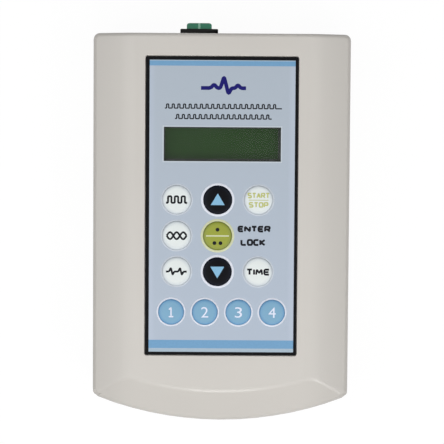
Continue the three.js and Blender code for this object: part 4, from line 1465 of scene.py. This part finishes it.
class TENSUNIT_OT_hardware(bpy.types.Operator):
    """Finishes the boards, transformers, films, cells, contacts, screws and feet"""

    bl_idname = "tens_unit.hardware"
    bl_label = "Boards, batteries and fittings"

    def execute(self, context):
        detail = context.scene.tens_detail
        steel = surface("bright_steel", brushed, detail.steel)
        green = surface("board_resist", board_resist, detail.board, detail.trace)
        plain = {
            "main_board": green,
            "display_board": green,
            "keypad_spacer": surface("spacer_film", print_ink, detail.spacer, 0.35),
            "keypad_circuit": surface("circuit_film", print_ink, detail.circuit, 0.35),
            "battery_contact_front": steel,
            "battery_contact_rear": steel,
        }
        for node in nodes_named("dome_"):
            plain[node] = steel
        for node in nodes_named("output_transformer_"):
            low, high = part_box(node)
            low_tape, high_tape = low.z + detail.tape_foot, high.z - detail.tape_top
            plain[node] = surface(
                "transformer_finish", taped, detail.core, detail.winding, low_tape, high_tape
            )
        for node in nodes_named("battery_cell_"):
            low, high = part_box(node)
            turned_round = int(node[-1]) % 2 == 0
            start, towards_end = high.y - detail.end_band, detail.band_edge
            if turned_round:
                start, towards_end = low.y + detail.end_band, -detail.band_edge
            end = start + towards_end
            name = f"cell_sleeve_{'front' if turned_round else 'rear'}"
            plain[node] = surface(name, sleeved, detail.cell, detail.cell_band, start, end)
        for node, material in plain.items():
            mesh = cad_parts[node].data
            mesh.materials.clear()
            mesh.materials.append(material)

        for node in nodes_named("case_screw_"):
            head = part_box(node)[0].z + detail.screw_head
            bm = eased_copy(node, lambda p: p.z < head, detail.screw_edge, 2, 40)
            moulding(bm, node, node.replace("case_", ""), [steel])

        rubber = surface("foot_rubber_grain", rubbery, detail.rubber)
        for node in nodes_named("foot_"):
            low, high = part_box(node)
            place = centre_of(node)
            radius = (high.x - low.x) / 2
            edge = detail.foot_edge
            side = quarter(radius, 0, edge, 5)
            profile = [
                (0, low.z + detail.foot_dish),
                (radius * 0.55, low.z + detail.foot_dish),
                (radius * 0.6, low.z),
                *[(reach, low.z - height) for reach, height in reversed(side)],
                (radius, high.z),
                (0, high.z),
            ]
            bm = turned(profile, (place.x, place.y, 0), 48)
            name = node.replace("foot_", "rubber_foot_")
            piece(bm, name, "case", [rubber], [node])
        return {"FINISHED"}


class TENSUNIT_OT_stage(bpy.types.Operator):
    """Sets the pale floor, the soft lamps, the even surroundings and the camera"""

    bl_idname = "tens_unit.stage"
    bl_label = "Stage"

    def execute(self, context):
        stage = context.scene.tens_stage
        scene = context.scene
        bm = bmesh.new()
        bmesh.ops.create_grid(bm, x_segments=1, y_segments=1, size=2)
        mesh = bpy.data.meshes.new("floor")
        bm.to_mesh(mesh)
        bm.free()
        mesh.materials.append(self.pale_floor())
        floor = bpy.data.objects.new("floor", mesh)
        scene.collection.objects.link(floor)

        for name, (place, size, setting) in LAMPS.items():
            self.lamp(name, place, size, getattr(stage, setting))
        world = bpy.data.worlds.new("surroundings")
        start = blank(world)
        share = self.seen_directly(start) * (1 - stage.sky_level) + stage.sky_level
        sky = start.node("ShaderNodeBackground", {"Color": (1, 1, 1, 1), "Strength": share})
        start.node("ShaderNodeOutputWorld", {"Surface": sky})
        scene.world = world

        lens = bpy.data.cameras.new("camera")
        lens.sensor_width = 36
        lens.angle = math.radians(CAMERA_ANGLE)
        lens.clip_start = 0.01
        camera = bpy.data.objects.new("camera", lens)
        camera.location = [place * MM for place in CAMERA_PLACE]
        camera.rotation_euler = [math.radians(turn) for turn in CAMERA_TURN]
        scene.collection.objects.link(camera)
        scene.camera = camera
        scene.view_settings.view_transform = "Standard"
        return {"FINISHED"}

    @staticmethod
    def lamp(name, place, size, level):
        """A square lamp aimed at the unit, set by the light that it gives there"""
        light = bpy.data.lights.new(name, "AREA")
        light.shape = "SQUARE"
        light.size = size
        reach = Vector(place).length
        light.energy = level * math.pi**2 * reach**2
        lamp = bpy.data.objects.new(name, light)
        lamp.location = place
        lamp.rotation_euler = Vector(place).to_track_quat("Z", "Y").to_euler()
        bpy.context.scene.collection.objects.link(lamp)

    @staticmethod
    def seen_directly(start):
        """1 for rays from the camera and for those that gloss and clear plastic send on"""
        path = start.node("ShaderNodeLightPath")
        names = ("Is Camera Ray", "Is Glossy Ray", "Is Transmission Ray")
        seen = [Wire(start.tree, path.socket.node.outputs[name]) for name in names]
        return seen[0] + seen[1] + seen[2]

    def pale_floor(self):
        """A white floor that keeps shadows and shows plain white to the camera"""
        material = bpy.data.materials.new("pale_floor")
        start = blank(material)
        plain = start.node("ShaderNodeBsdfDiffuse", {"Color": (0.86, 0.86, 0.86, 1)})
        white = start.node("ShaderNodeEmission", {"Color": (1, 1, 1, 1), "Strength": 1.02})
        share = self.seen_directly(start) * 0.93
        shader = start.node("ShaderNodeMixShader", {0: share, 1: plain, 2: white})
        start.node("ShaderNodeOutputMaterial", {"Surface": shader})
        return material


class TENSUNIT_PT_panel(bpy.types.Panel):
    """Lists the steps that model the unit"""

    bl_idname = "TENSUNIT_PT_panel"
    bl_label = "Tens Unit"
    bl_space_type = "VIEW_3D"
    bl_region_type = "UI"
    bl_category = "Tens Unit"

    def draw(self, context):
        column = self.layout.column()
        for operator in OPERATORS:
            column.operator(operator.bl_idname)
        for name in SETTINGS:
            settings = getattr(context.scene, name)
            for item in settings.bl_rna.properties:
                if item.identifier not in ("rna_type", "name"):
                    column.prop(settings, item.identifier)


SETTINGS = {
    "tens_case": CaseSettings,
    "tens_panel": PanelSettings,
    "tens_keys": KeySettings,
    "tens_detail": DetailSettings,
    "tens_stage": StageSettings,
}
OPERATORS = (
    TENSUNIT_OT_case,
    TENSUNIT_OT_rear_panel,
    TENSUNIT_OT_battery_door,
    TENSUNIT_OT_overlay,
    TENSUNIT_OT_keys,
    TENSUNIT_OT_legends,
    TENSUNIT_OT_display,
    TENSUNIT_OT_power_switch,
    TENSUNIT_OT_connectors,
    TENSUNIT_OT_hardware,
    TENSUNIT_OT_stage,
)


def register():
    for name, group in SETTINGS.items():
        bpy.utils.register_class(group)
        setattr(bpy.types.Scene, name, bpy.props.PointerProperty(type=group))
    for operator in OPERATORS:
        bpy.utils.register_class(operator)
    bpy.utils.register_class(TENSUNIT_PT_panel)


def unregister():
    bpy.utils.unregister_class(TENSUNIT_PT_panel)
    for operator in reversed(OPERATORS):
        bpy.utils.unregister_class(operator)
    for name, group in SETTINGS.items():
        delattr(bpy.types.Scene, name)
        bpy.utils.unregister_class(group)


def main():
    register()
    for operator in OPERATORS:
        step = operator.bl_idname.split(".")[1]
        getattr(bpy.ops.tens_unit, step)()


if __name__ == "__main__":
    main()
